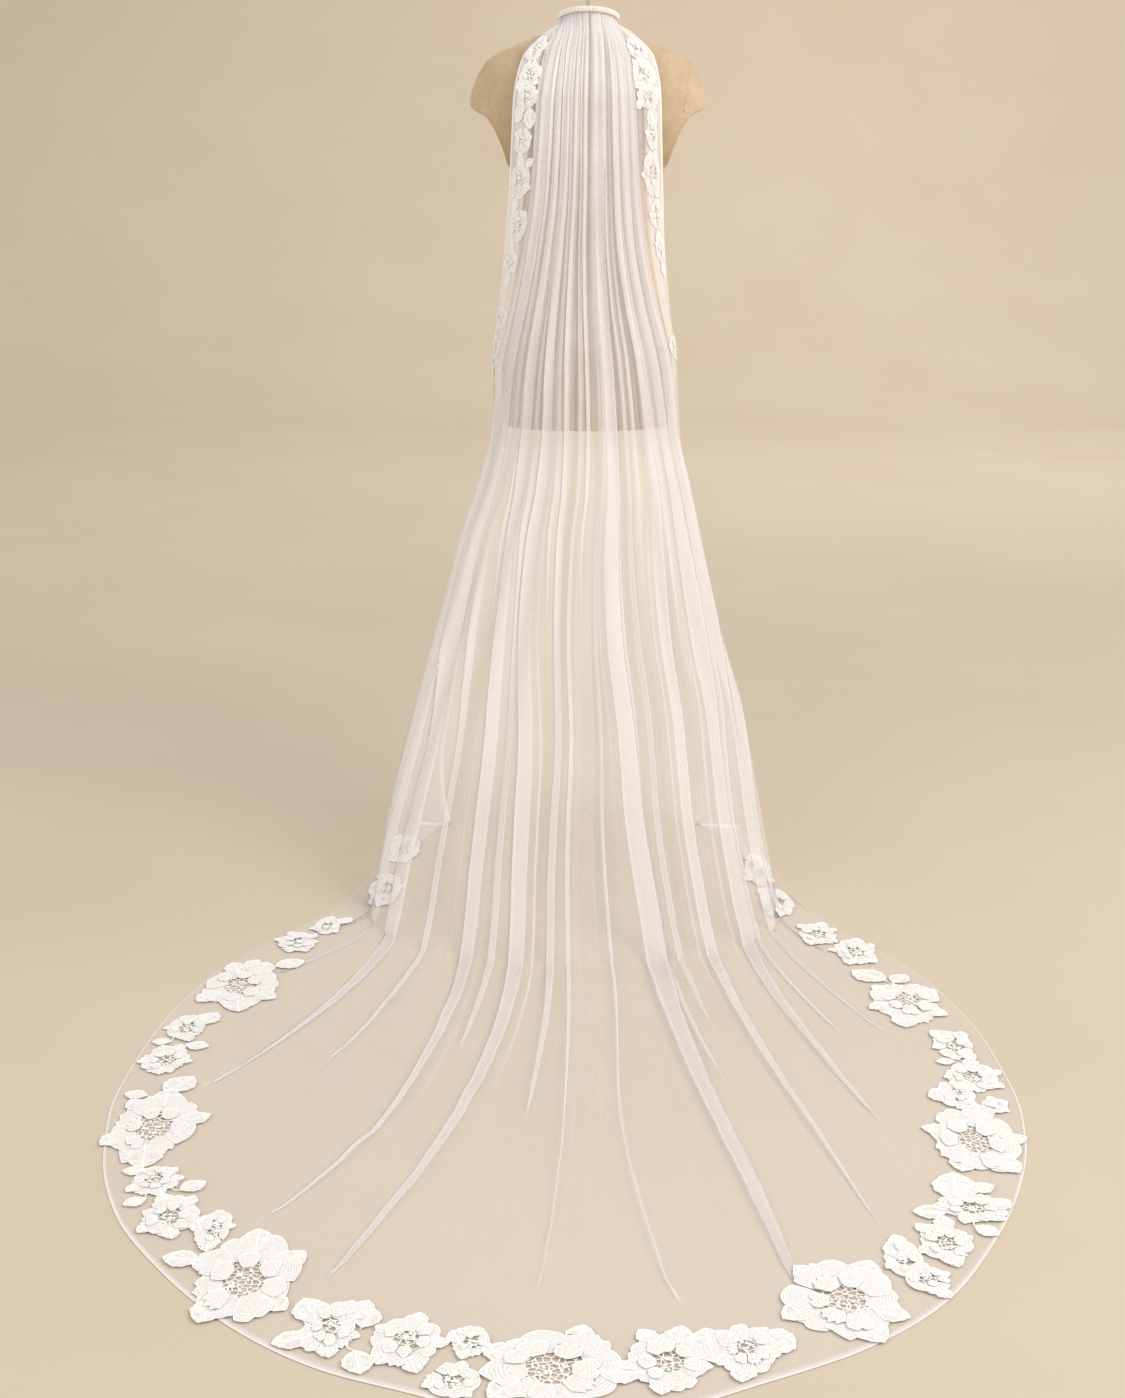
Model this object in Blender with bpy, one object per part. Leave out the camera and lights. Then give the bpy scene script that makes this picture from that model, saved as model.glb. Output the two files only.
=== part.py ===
"""A cathedral-length bridal veil on a dress form that hangs by a wire hook in its neck.

Metres, +Z up. The origin is the point where the hook hangs, on the form's own axis. The veil's train
runs back along -Y over the floor, so heights in the tables are given above that floor.
"""

import math

import bmesh
import bpy
import numpy as np
from mathutils import Vector

# Overall sizes
HANG_HEIGHT = 1.575
CLEARANCE = 0.0003
SEAT_GAP = 0.0005
ON_FLOOR = 1e-6
SHARP_ANGLE = math.radians(40)

# Veil cloth
WALL = 0.0012
CUT_HALF_WIDTH = 0.75
BORDER_WIDTH = 0.075
BORDER_START = 1.0 - BORDER_WIDTH / CUT_HALF_WIDTH
TOP_HEIGHT = 1.510
TOP_ARCH = 0.012
GATHERS = 18
STEPS_PER_GATHER = 3
BORDER_STEPS = 6
GATHER_LEVELS = ((1.51, 0.0010), (1.47, 0.0030), (1.35, 0.0040), (1.10, 0.0030), (0.90, 0.0), (0.0, 0.0))
BAND_ROW = 0.0078
BORDER_LACE_ROWS = tuple(0.019 + 0.0175 * row for row in range(13))
LOWER_ROWS = (0.27, 0.33, 0.40, 0.48, 0.57, 0.66, 0.75, 0.83, 0.89, 0.94, 0.975, 1.0)
HANG_ROWS = (0.0, BAND_ROW, *BORDER_LACE_ROWS, *LOWER_ROWS)
FLOOR_ROWS = (0.12, 0.25, 0.38, 0.52, 0.66, 0.82, 1.0)
LACE_ZONE = 0.165
RIDGE_FADE = 0.22

# The hanging cloth from above, level by level. It wraps round the back, and "turn" is the angle from the
# centre back to each free edge. "share" is how much of that turn the flat lace border takes.
HANG_COLUMNS = ("height", "centre_x", "half_width", "turn", "centre_y", "back", "front", "share", "fold")
HANG = (
    (1.510, 0.000, 0.0525, 76, 0.000, 0.0525, 0.052, 0.10, 0.02),
    (1.486, 0.000, 0.0525, 76, 0.000, 0.0525, 0.052, 0.12, 0.02),
    (1.466, 0.001, 0.0810, 72, -0.026, 0.045, 0.045, 0.40, 0.10),
    (1.420, 0.000, 0.1260, 70, -0.067, 0.022, 0.040, 0.48, 0.20),
    (1.350, -0.002, 0.1400, 70, -0.092, 0.026, 0.040, 0.46, 0.28),
    (1.263, -0.003, 0.1430, 71, -0.092, 0.034, 0.050, 0.44, 0.32),
    (1.176, -0.004, 0.1450, 74, -0.083, 0.044, 0.060, 0.42, 0.34),
    (1.087, -0.006, 0.1480, 80, -0.072, 0.054, 0.070, 0.38, 0.38),
    (0.997, -0.006, 0.1560, 88, -0.058, 0.070, 0.080, 0.34, 0.42),
    (0.886, -0.004, 0.1700, 97, -0.044, 0.094, 0.090, 0.29, 0.48),
    (0.754, -0.002, 0.1770, 105, -0.030, 0.118, 0.100, 0.25, 0.56),
    (0.665, -0.003, 0.1930, 109, -0.055, 0.118, 0.130, 0.23, 0.66),
    (0.578, -0.010, 0.2130, 113, -0.095, 0.113, 0.180, 0.21, 0.76),
    (0.461, -0.014, 0.2370, 117, -0.165, 0.112, 0.270, 0.19, 0.88),
    (0.380, -0.016, 0.2560, 120, -0.220, 0.116, 0.330, 0.18, 0.95),
    (0.301, -0.016, 0.2770, 123, -0.285, 0.122, 0.400, 0.17, 1.00),
    (0.225, -0.019, 0.2960, 125, -0.350, 0.132, 0.470, 0.17, 1.00),
    (0.150, -0.024, 0.3140, 127, -0.420, 0.148, 0.530, 0.17, 0.92),
    (0.079, -0.026, 0.3230, 131, -0.490, 0.172, 0.580, 0.17, 0.76),
    (0.030, -0.024, 0.3300, 134, -0.540, 0.204, 0.610, 0.17, 0.58),
    (0.000, -0.022, 0.3340, 137, -0.580, 0.250, 0.630, 0.17, 0.42),
)

# The hem on the floor, from the front corners round to the tip. "across" is 1 at the free edge of the
# cut cloth and 0 at its centre.
HEM_COLUMNS = ("across", "left_x", "left_y", "right_x", "right_y")
HEM = (
    (1.000, -0.322, -0.110, 0.292, -0.130),
    (0.950, -0.357, -0.255, 0.318, -0.270),
    (0.900, -0.394, -0.405, 0.345, -0.415),
    (0.850, -0.430, -0.560, 0.370, -0.570),
    (0.795, -0.490, -0.665, 0.428, -0.690),
    (0.735, -0.560, -0.775, 0.498, -0.815),
    (0.670, -0.612, -0.905, 0.545, -0.955),
    (0.600, -0.648, -1.080, 0.572, -1.110),
    (0.530, -0.660, -1.270, 0.577, -1.270),
    (0.455, -0.638, -1.445, 0.560, -1.410),
    (0.380, -0.590, -1.590, 0.520, -1.540),
    (0.300, -0.515, -1.710, 0.460, -1.665),
    (0.220, -0.410, -1.830, 0.385, -1.780),
    (0.145, -0.305, -1.907, 0.285, -1.868),
    (0.090, -0.197, -1.952, 0.165, -1.932),
    (0.045, -0.122, -1.984, 0.060, -1.978),
    (0.000, -0.045, -1.998, -0.045, -1.998),
)

# The main folds: where each crest lies across the cut cloth, its width there, its deepest depth, and how
# far it still shows on the train.
FOLD_COLUMNS = ("across", "width", "depth", "reach")
FOLDS = (
    (-0.815, 0.085, 0.044, 0.35),
    (-0.650, 0.080, 0.040, 0.80),
    (-0.490, 0.080, 0.044, 0.85),
    (-0.330, 0.078, 0.038, 0.75),
    (-0.175, 0.076, 0.042, 0.80),
    (-0.030, 0.070, 0.036, 0.85),
    (0.115, 0.074, 0.042, 0.75),
    (0.270, 0.078, 0.038, 0.70),
    (0.430, 0.080, 0.044, 0.85),
    (0.595, 0.082, 0.040, 0.80),
    (0.765, 0.085, 0.044, 0.60),
)

# The dress form's torso, level by level, with the power that squares its section
FORM_COLUMNS = ("height", "half_width", "back", "front", "power")
FORM = (
    (0.7620, 0.1550, 0.112, 0.104, 2.3),
    (0.8100, 0.1590, 0.116, 0.107, 2.3),
    (0.8700, 0.1600, 0.117, 0.108, 2.3),
    (0.9400, 0.1530, 0.107, 0.106, 2.3),
    (1.0200, 0.1370, 0.090, 0.099, 2.2),
    (1.1000, 0.1270, 0.083, 0.096, 2.2),
    (1.1700, 0.1320, 0.090, 0.106, 2.2),
    (1.2300, 0.1420, 0.098, 0.117, 2.2),
    (1.2600, 0.1800, 0.101, 0.117, 2.2),
    (1.3000, 0.2080, 0.103, 0.110, 2.2),
    (1.3450, 0.2140, 0.101, 0.095, 2.1),
    (1.3850, 0.1985, 0.089, 0.078, 2.1),
    (1.4060, 0.1930, 0.078, 0.068, 2.1),
    (1.4200, 0.1820, 0.070, 0.060, 2.1),
    (1.4320, 0.1640, 0.064, 0.055, 2.1),
    (1.4420, 0.1420, 0.059, 0.052, 2.1),
    (1.4550, 0.1120, 0.053, 0.050, 2.1),
    (1.4640, 0.0840, 0.050, 0.048, 2.0),
    (1.4715, 0.0600, 0.049, 0.048, 2.0),
    (1.4780, 0.0490, 0.048, 0.048, 2.0),
    (1.4970, 0.0480, 0.048, 0.048, 2.0),
)
FORM_SIDES = 32
ARM_CUT_TOP = (0.2100, 1.3450)
ARM_CUT_BOTTOM = (0.1440, 1.2320)

# Neck cap and hook
CAP_RADIUS = 0.0450
CAP_HEIGHT = 0.0060
CAP_BEVEL = 0.0015
CAP_SIDES = 24
WIRE_RADIUS = 0.0025
WIRE_SIDES = 8
HOOK_RADIUS = 0.0140
HOOK_BENDS = 14
HOOK_MOUTH = math.radians(35)
HOOK_SWEEP = math.radians(250)

# Head band and comb
BAND_THICK = 0.0020
BAND_DROP = 0.0110
BAND_RISE = 0.0010
BAND_STEPS = 28
BAND_TURN = math.radians(76)
# Neighbouring folds add up under the band to at most this many times the deepest one
FOLD_SUM = 1.35
COMB_INNER = 0.0497
COMB_THICK = 0.0022
COMB_DROP = 0.0100
COMB_TURN = math.radians(36)
COMB_TEETH = 9
COMB_STEPS_PER_TOOTH = 2
FACES_PER_STEP = 4
TOOTH_LEVELS = (1.4760, 1.4640)
TOOTH_TAPER = 0.0004

# Lace motifs
LACE_THICK = 0.0011
HOLE_MINIMUM = 0.0042
# Motifs that lie on the train: place on the floor, half sizes, petals, degrees turned
TRAIN_COLUMNS = ("name", "x", "y", "half_x", "half_y", "petals", "turn")
TRAIN_LACE = (
    ("foot_left", -0.356, -0.305, 0.012, 0.048, 6, -14),
    ("left_1", -0.458, -0.690, 0.034, 0.060, 6, -31),
    ("left_2", -0.537, -0.880, 0.048, 0.082, 7, -24),
    ("left_3", -0.587, -1.085, 0.046, 0.090, 6, -11),
    ("left_4", -0.590, -1.330, 0.060, 0.110, 8, 5),
    ("left_5", -0.545, -1.545, 0.048, 0.082, 6, 22),
    ("left_6", -0.430, -1.705, 0.066, 0.086, 8, 42),
    ("left_7", -0.278, -1.830, 0.048, 0.078, 7, 66),
    ("bottom_1", -0.158, -1.885, 0.030, 0.042, 6, 78),
    ("bottom_2", -0.045, -1.905, 0.064, 0.062, 8, 0),
    ("bottom_3", 0.085, -1.890, 0.048, 0.058, 7, -72),
    ("right_7", 0.258, -1.775, 0.068, 0.072, 8, -52),
    ("right_6", 0.372, -1.672, 0.042, 0.056, 6, -42),
    ("right_5", 0.447, -1.535, 0.042, 0.072, 6, -28),
    ("right_4", 0.500, -1.370, 0.056, 0.084, 8, -8),
    ("right_3", 0.518, -1.185, 0.042, 0.088, 6, 2),
    ("right_2", 0.477, -0.965, 0.048, 0.088, 7, 20),
    ("right_1", 0.396, -0.730, 0.034, 0.066, 6, 32),
)
# Motifs on the hanging edges: side, inset from the free edge, height, half sizes, petals, and how far
# the sewn middle lies off the cloth
EDGE_COLUMNS = ("name", "side", "inset", "height", "half_across", "half_along", "petals", "seat")
EDGE_LACE = (
    ("edge_left_1", -1, 0.034, 1.378, 0.025, 0.044, 7, 0.0014),
    ("edge_left_2", -1, 0.032, 1.285, 0.022, 0.030, 6, 0.0004),
    ("edge_left_3", -1, 0.034, 1.190, 0.025, 0.048, 7, 0.0004),
    ("edge_right_1", 1, 0.034, 1.378, 0.025, 0.044, 7, 0.0014),
    ("edge_right_2", 1, 0.032, 1.200, 0.025, 0.060, 7, 0.0004),
)
STEPS_PER_PETAL = 3
PETAL_DEPTH = 0.16
HOLE_RINGS = (0.17, 0.30, 0.46)
# The petals' tips stand this far off the cloth
EDGE_GAP = 0.0014
EDGE_RINGS = (0.66, 0.83)

# Colours as linear red, green and blue, with roughness, metallic and alpha
TULLE = ("silk tulle", (0.90, 0.86, 0.82), 0.65, 0.0, 0.35)
SATIN = ("gathered satin", (0.92, 0.89, 0.85), 0.45, 0.0, 1.0)
LACE = ("corded lace", (0.94, 0.92, 0.90), 0.70, 0.0, 1.0)
LINEN = ("linen cover", (0.52, 0.38, 0.24), 0.85, 0.0, 1.0)
WOOD = ("turned beech", (0.60, 0.42, 0.25), 0.50, 0.0, 1.0)
STEEL = ("steel wire", (0.60, 0.60, 0.60), 0.35, 1.0, 1.0)
NYLON = ("clear nylon", (0.85, 0.85, 0.84), 0.25, 0.0, 0.6)


def clear_scene():
    for item in list(bpy.data.objects):
        bpy.data.objects.remove(item, do_unlink=True)


def make_material(look):
    name, colour, roughness, metallic, alpha = look
    material = bpy.data.materials.get(name)
    if material is None:
        material = bpy.data.materials.new(name)
        material.use_nodes = True
        shader = material.node_tree.nodes["Principled BSDF"]
        shader.inputs["Base Color"].default_value = (*colour, 1.0)
        shader.inputs["Roughness"].default_value = roughness
        shader.inputs["Metallic"].default_value = metallic
        shader.inputs["Alpha"].default_value = alpha
    return material


def above_floor(height):
    """The part's own Z of a height above the floor."""
    return height - HANG_HEIGHT


def fine_table(rows, steps=40):
    """The rows with `steps` more between each two, on smooth curves that never overshoot a row."""
    table = np.array(rows, dtype=float)
    table = table[np.argsort(table[:, 0])]
    drive = table[:, 0]
    secants = np.diff(table, axis=0) / np.diff(drive)[:, None]
    product = secants[:-1] * secants[1:]
    total = np.where(product > 0, secants[:-1] + secants[1:], 1.0)
    inside = np.where(product > 0, 2.0 * product / total, 0.0)
    slopes = np.vstack([secants[:1], inside, secants[-1:]])
    fine = []
    for low in range(len(table) - 1):
        span = drive[low + 1] - drive[low]
        for step in range(steps):
            f = step / steps
            fine.append(
                (2 * f**3 - 3 * f**2 + 1) * table[low]
                + (f**3 - 2 * f**2 + f) * span * slopes[low]
                + (-2 * f**3 + 3 * f**2) * table[low + 1]
                + (f**3 - f**2) * span * slopes[low + 1]
            )
    fine.append(table[-1])
    return np.array(fine)


def read_table(fine, columns, drive):
    """Every column of a fine table at the given values of its first one."""
    return {name: np.interp(drive, fine[:, 0], fine[:, i]) for i, name in enumerate(columns)}


def smooth_step(value, start, end):
    ratio = np.clip((value - start) / (end - start), 0.0, 1.0)
    return ratio * ratio * (3.0 - 2.0 * ratio)


HANG_FINE = fine_table(HANG)
HEM_FINE = fine_table(HEM)


def edge_share(across, share):
    """How far round the back a point lies, 0 at the centre and 1 at the free edge."""
    inner = (1.0 - share) * np.minimum(across, BORDER_START) / BORDER_START
    outer = share * np.maximum(across - BORDER_START, 0.0) / (1.0 - BORDER_START)
    return inner + outer


def hang_point(across, height):
    """Place of the smooth hanging cloth, before its folds. `across` runs from -1 to 1."""
    level = read_table(HANG_FINE, HANG_COLUMNS, height)
    angle = np.radians(level["turn"]) * edge_share(np.abs(across), level["share"]) * np.sign(across)
    depth = np.where(np.cos(angle) > 0, level["back"], level["front"])
    x = level["centre_x"] + level["half_width"] * np.sin(angle)
    y = level["centre_y"] - depth * np.cos(angle)
    return np.stack([x, y, height + 0.0 * x], axis=-1)


def hem_point(across):
    row = read_table(HEM_FINE, HEM_COLUMNS, np.abs(across))
    left = across < 0
    x = np.where(left, row["left_x"], row["right_x"])
    y = np.where(left, row["left_y"], row["right_y"])
    return np.stack([x, y, 0.0 * x], axis=-1)


def top_height(across):
    return TOP_HEIGHT - TOP_ARCH * edge_share(np.abs(across), HANG[0][HANG_COLUMNS.index("share")]) ** 2


def base_surface(across, rows_down, rows_along):
    """The cloth without folds: hanging rows, then rows on the floor from the touch-down line to the hem."""
    hanging = [hang_point(across, top_height(across) * (1.0 - down)) for down in rows_down]
    foot = hang_point(across, 0.0 * across)
    hem = hem_point(across)
    lying = [foot + (hem - foot) * along for along in rows_along]
    return np.array(hanging + lying)


def outward_normals(points):
    """Unit normals of a grid of points, away from the form and up from the floor."""
    along = np.gradient(points, axis=0)
    across = np.gradient(points, axis=1)
    normal = np.cross(across, along)
    normal /= np.linalg.norm(normal, axis=-1, keepdims=True)
    if normal[-1, normal.shape[1] // 2, 2] < 0:
        normal = -normal
    return normal


def fold_depths(across, points, floor_start, rows_along):
    """How far out the folds and gathers stand at each grid point."""
    height = points[..., 2]
    depth = np.zeros(height.shape)
    level = np.interp(height, HANG_FINE[:, 0], HANG_FINE[:, HANG_COLUMNS.index("fold")])
    hem_distance = np.linalg.norm(points[:, :, None] - points[-1][None, None], axis=-1).min(axis=2)
    ridge = smooth_step(hem_distance, LACE_ZONE, LACE_ZONE + RIDGE_FADE)
    for place, width, deepest, reach in FOLDS:
        offset = np.clip(np.abs(across - place) / width, 0.0, 1.0)
        crest = np.cos(offset * math.pi / 2) ** 2
        fade = np.ones(height.shape)
        for row, along in enumerate(rows_along):
            fade[floor_start + row] = (1.0 - smooth_step(along, 0.0, reach)) * ridge[floor_start + row]
        depth += deepest * level * fade * crest
    heights, sizes = zip(*sorted(GATHER_LEVELS))
    size = np.interp(height, heights, sizes)
    wave = 0.5 - 0.5 * np.cos((across / BORDER_START + 1.0) * math.pi * GATHERS)
    inside = 1.0 - smooth_step(np.abs(across), BORDER_START - 0.02, BORDER_START)
    return depth + size * wave * inside


def veil_grid():
    """The cloth's inner points, its outward normals, and the values across that its columns have."""
    inner = np.linspace(-BORDER_START, BORDER_START, GATHERS * STEPS_PER_GATHER + 1)
    border = np.linspace(BORDER_START, 1.0, BORDER_STEPS + 1)[1:]
    across = np.concatenate([-border[::-1], inner, border])
    points = base_surface(across, HANG_ROWS, FLOOR_ROWS)
    normal = outward_normals(points)
    normal[len(HANG_ROWS):] = (0.0, 0.0, 1.0)
    depth = fold_depths(across, points, len(HANG_ROWS), FLOOR_ROWS)
    points = points + normal * depth[..., None]
    normal = outward_normals(points)
    flat = points[..., 2] < ON_FLOOR
    normal[flat] = (0.0, 0.0, 1.0)
    return points, normal, across


def add_object(name, mesh, look):
    """A mesh object with its faces pointing out, shaded smooth except at sharp edges."""
    bmesh.ops.recalc_face_normals(mesh, faces=mesh.faces)
    data = bpy.data.meshes.new(name)
    mesh.to_mesh(data)
    mesh.free()
    data.shade_smooth()
    data.set_sharp_from_angle(angle=SHARP_ANGLE)
    data.materials.append(make_material(look))
    item = bpy.data.objects.new(name, data)
    bpy.context.scene.collection.objects.link(item)
    return item


def place_points(mesh, points):
    """Vertices of a grid of points given in heights above the floor."""
    return [[mesh.verts.new((p[0], p[1], above_floor(p[2]))) for p in row] for row in points]


def wall_mesh(inner, outer):
    """A closed wall between two grids of points, with rims on its four sides."""
    mesh = bmesh.new()
    low = place_points(mesh, inner)
    high = place_points(mesh, outer)
    rows = len(low)
    columns = len(low[0])
    for r in range(rows - 1):
        for c in range(columns - 1):
            mesh.faces.new((low[r][c], low[r][c + 1], low[r + 1][c + 1], low[r + 1][c]))
            mesh.faces.new((high[r][c], high[r + 1][c], high[r + 1][c + 1], high[r][c + 1]))
    for r in range(rows - 1):
        for c in (0, columns - 1):
            mesh.faces.new((low[r][c], low[r + 1][c], high[r + 1][c], high[r][c]))
    for c in range(columns - 1):
        for r in (0, rows - 1):
            mesh.faces.new((low[r][c], low[r][c + 1], high[r][c + 1], high[r][c]))
    return mesh


def ring_mesh(rings):
    """A closed skin over rings of points, with both ends capped."""
    mesh = bmesh.new()
    verts = place_points(mesh, rings)
    for low, high in zip(verts[:-1], verts[1:]):
        for i in range(len(low)):
            j = (i + 1) % len(low)
            mesh.faces.new((low[i], low[j], high[j], high[i]))
    mesh.faces.new(verts[0])
    mesh.faces.new(verts[-1])
    return mesh


def make_veil():
    points, normal, _ = veil_grid()
    return add_object("veil_tulle", wall_mesh(points, points + normal * WALL), TULLE)


def arc_strip(turn, steps, inner_radius, thickness, top_lift, drop):
    """Rings of a strip that follows the gathered top of the veil round the neck."""
    rings = []
    for step in range(steps + 1):
        angle = turn * (2.0 * step / steps - 1.0)
        top = TOP_HEIGHT - TOP_ARCH * (angle / BAND_TURN) ** 2 + top_lift
        ring = []
        for radius, height in (
            (inner_radius, top - drop),
            (inner_radius + thickness, top - drop),
            (inner_radius + thickness, top),
            (inner_radius, top),
        ):
            ring.append((radius * math.sin(angle), -radius * math.cos(angle), height))
        rings.append(ring)
    return rings


def make_band():
    gathered = HANG[0][HANG_COLUMNS.index("half_width")] + GATHER_LEVELS[0][1] + WALL
    fold = max(row[FOLD_COLUMNS.index("depth")] for row in FOLDS) * HANG[0][HANG_COLUMNS.index("fold")]
    inner_radius = gathered + fold * FOLD_SUM + CLEARANCE
    rings = arc_strip(BAND_TURN, BAND_STEPS, inner_radius, BAND_THICK, BAND_RISE, BAND_DROP)
    return add_object("head_band", ring_mesh(rings), SATIN)


def form_radius(angle, height):
    """How far the torso's skin lies from its axis, in a direction seen from above, 0 at the centre back."""
    level = read_table(np.array(FORM), FORM_COLUMNS, height)
    depth = level["back"] if math.cos(angle) > 0 else level["front"]
    x = abs(math.sin(angle)) / level["half_width"]
    y = abs(math.cos(angle)) / depth
    return float((x ** level["power"] + y ** level["power"]) ** (-1.0 / level["power"]))


def make_comb():
    """A curved bar between the neck and the tulle, with teeth that follow the neck down."""
    steps = COMB_STEPS_PER_TOOTH * COMB_TEETH - 1
    rings = arc_strip(COMB_TURN, steps, COMB_INNER, COMB_THICK, -BAND_RISE, COMB_DROP)
    mesh = ring_mesh(rings)
    mesh.faces.ensure_lookup_table()
    spacing = FACES_PER_STEP * COMB_STEPS_PER_TOOTH
    bottoms = [mesh.faces[spacing * tooth] for tooth in range(COMB_TEETH)]
    for height in TOOTH_LEVELS:
        ends = bmesh.ops.extrude_discrete_faces(mesh, faces=bottoms)["faces"]
        for face in ends:
            centre = face.calc_center_median()
            for vert in face.verts:
                angle = math.atan2(vert.co.x, -vert.co.y)
                middle = math.atan2(centre.x, -centre.y)
                outer = math.hypot(vert.co.x, vert.co.y) > math.hypot(centre.x, centre.y)
                seat = max(form_radius(angle, height) + SEAT_GAP, COMB_INNER)
                radius = seat + (COMB_THICK - TOOTH_TAPER if outer else 0.0)
                angle += (middle - angle) * TOOTH_TAPER / COMB_THICK
                vert.co = Vector((radius * math.sin(angle), -radius * math.cos(angle), above_floor(height)))
        bottoms = ends
    return add_object("comb", mesh, NYLON)


def arm_limit(height):
    """How far out the flat, slanted face of an arm stub lies at a height, or no limit away from it."""
    if not ARM_CUT_BOTTOM[1] <= height <= ARM_CUT_TOP[1]:
        return math.inf
    return float(np.interp(height, (ARM_CUT_BOTTOM[1], ARM_CUT_TOP[1]), (ARM_CUT_BOTTOM[0], ARM_CUT_TOP[0])))


def make_torso():
    """The form's torso, lofted from its levels, with both arm stubs ended flat."""
    rings = []
    for height, half_width, back, front, power in FORM:
        ring = []
        for side in range(FORM_SIDES):
            angle = 2.0 * math.pi * side / FORM_SIDES
            c, s = math.cos(angle), math.sin(angle)
            depth = front if s > 0 else back
            reach = min(half_width * abs(c) ** (2.0 / power), arm_limit(height))
            x = math.copysign(reach, c)
            y = depth * math.copysign(abs(s) ** (2.0 / power), s)
            ring.append((x, y, height))
        rings.append(ring)
    return add_object("dress_form", ring_mesh(rings), LINEN)


def make_cap():
    """The disc that closes the form's neck."""
    base = FORM[-1][0] + CLEARANCE
    rings = []
    for radius, height in (
        (CAP_RADIUS, base),
        (CAP_RADIUS, base + CAP_HEIGHT - CAP_BEVEL),
        (CAP_RADIUS - CAP_BEVEL, base + CAP_HEIGHT),
    ):
        ring = []
        for side in range(CAP_SIDES):
            angle = 2.0 * math.pi * side / CAP_SIDES
            ring.append((radius * math.cos(angle), radius * math.sin(angle), height))
        rings.append(ring)
    return add_object("neck_cap", ring_mesh(rings), WOOD)


def make_hook():
    """A wire hook whose inner top is the origin, straight above its stem."""
    centre = HANG_HEIGHT + WIRE_RADIUS - HOOK_RADIUS
    base = FORM[-1][0] + CAP_HEIGHT + 2 * CLEARANCE
    path = [((0.0, 0.0, base), (0.0, 0.0, 1.0))]
    bend_start = centre - HOOK_RADIUS - WIRE_RADIUS * 2
    path.append(((0.0, 0.0, bend_start), (0.0, 0.0, 1.0)))
    for bend in range(HOOK_BENDS + 1):
        angle = -math.pi / 2 - HOOK_MOUTH - HOOK_SWEEP * bend / HOOK_BENDS
        place = (HOOK_RADIUS * math.cos(angle), 0.0, centre + HOOK_RADIUS * math.sin(angle))
        path.append((place, (math.sin(angle), 0.0, -math.cos(angle))))
    rings = []
    for place, along in path:
        side = Vector((0.0, 1.0, 0.0)).cross(Vector(along)).normalized()
        ring = []
        for corner in range(WIRE_SIDES):
            angle = 2.0 * math.pi * corner / WIRE_SIDES
            offset = side * math.cos(angle) + Vector((0.0, 1.0, 0.0)) * math.sin(angle)
            ring.append(Vector(place) + offset * WIRE_RADIUS)
        rings.append(ring)
    return add_object("hang_hook", ring_mesh(rings), STEEL)


def petal_outline(petals, step, steps):
    """Relative radius of a motif's rim, with one rounded lobe for each petal."""
    phase = (step * petals / steps) % 1.0
    return 1.0 - PETAL_DEPTH * (2.0 * abs(phase - 0.5)) ** 2


def motif_cells(petals, half_small, more_rings):
    """Rings of a motif as radii, and which cells are gaps in its open centre."""
    steps = petals * STEPS_PER_PETAL
    radii = [*HOLE_RINGS, *more_rings, 1.0]
    arc = 2.0 * math.pi * HOLE_RINGS[1] * half_small / steps
    open_ring = arc > HOLE_MINIMUM and (HOLE_RINGS[2] - HOLE_RINGS[1]) * half_small > HOLE_MINIMUM
    if not open_ring:
        radii = [max(HOLE_RINGS[0], HOLE_MINIMUM / half_small), *more_rings, 1.0]
    return steps, radii, open_ring


def make_motif(name, petals, half_small, place, more_rings=()):
    """One lace motif. `place` turns a point of the unit motif into its floor-side and top points."""
    steps, radii, open_ring = motif_cells(petals, half_small, more_rings)
    inner = []
    outer = []
    for ring, radius in enumerate(radii):
        low_row = []
        high_row = []
        for step in range(steps):
            rim = petal_outline(petals, step, steps) if ring == len(radii) - 1 else 1.0
            angle = 2.0 * math.pi * (step + 0.5) / steps
            low, high = place(radius * rim * math.cos(angle), radius * rim * math.sin(angle))
            low_row.append(low)
            high_row.append(high)
        inner.append(low_row)
        outer.append(high_row)
    mesh = bmesh.new()
    low = place_points(mesh, inner)
    high = place_points(mesh, outer)
    for ring in range(len(radii) - 1):
        for step in range(steps):
            after = (step + 1) % steps
            if open_ring and ring == 1 and step % STEPS_PER_PETAL == 0:
                continue
            mesh.faces.new((low[ring][step], low[ring][after], low[ring + 1][after], low[ring + 1][step]))
            mesh.faces.new((high[ring][step], high[ring + 1][step], high[ring + 1][after], high[ring][after]))
    twin = {}
    for low_row, high_row in zip(low, high):
        for low_vert, high_vert in zip(low_row, high_row):
            twin[low_vert] = high_vert
    rims = [edge for edge in mesh.edges if len(edge.link_faces) == 1 and edge.verts[0] in twin]
    for edge in rims:
        a, b = edge.verts
        mesh.faces.new((a, b, twin[b], twin[a]))
    return add_object("lace_" + name, mesh, LACE)


def make_train_lace():
    """Motifs that lie on the flat border of the train."""
    under = WALL + CLEARANCE
    for row in TRAIN_LACE:
        lace = dict(zip(TRAIN_COLUMNS, row))
        turn = math.radians(lace["turn"])

        def place(u, v):
            p, q = u * lace["half_x"], v * lace["half_y"]
            x = lace["x"] + p * math.cos(turn) - q * math.sin(turn)
            y = lace["y"] + p * math.sin(turn) + q * math.cos(turn)
            return (x, y, under), (x, y, under + LACE_THICK)

        make_motif(lace["name"], lace["petals"], min(lace["half_x"], lace["half_y"]), place)


def grid_value(grid, row, column):
    """A value between four neighbouring points of a grid."""
    r = min(int(row), grid.shape[0] - 2)
    c = min(int(column), grid.shape[1] - 2)
    f, g = row - r, column - c
    upper = grid[r, c] * (1.0 - g) + grid[r, c + 1] * g
    lower = grid[r + 1, c] * (1.0 - g) + grid[r + 1, c + 1] * g
    return upper * (1.0 - f) + lower * f


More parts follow.
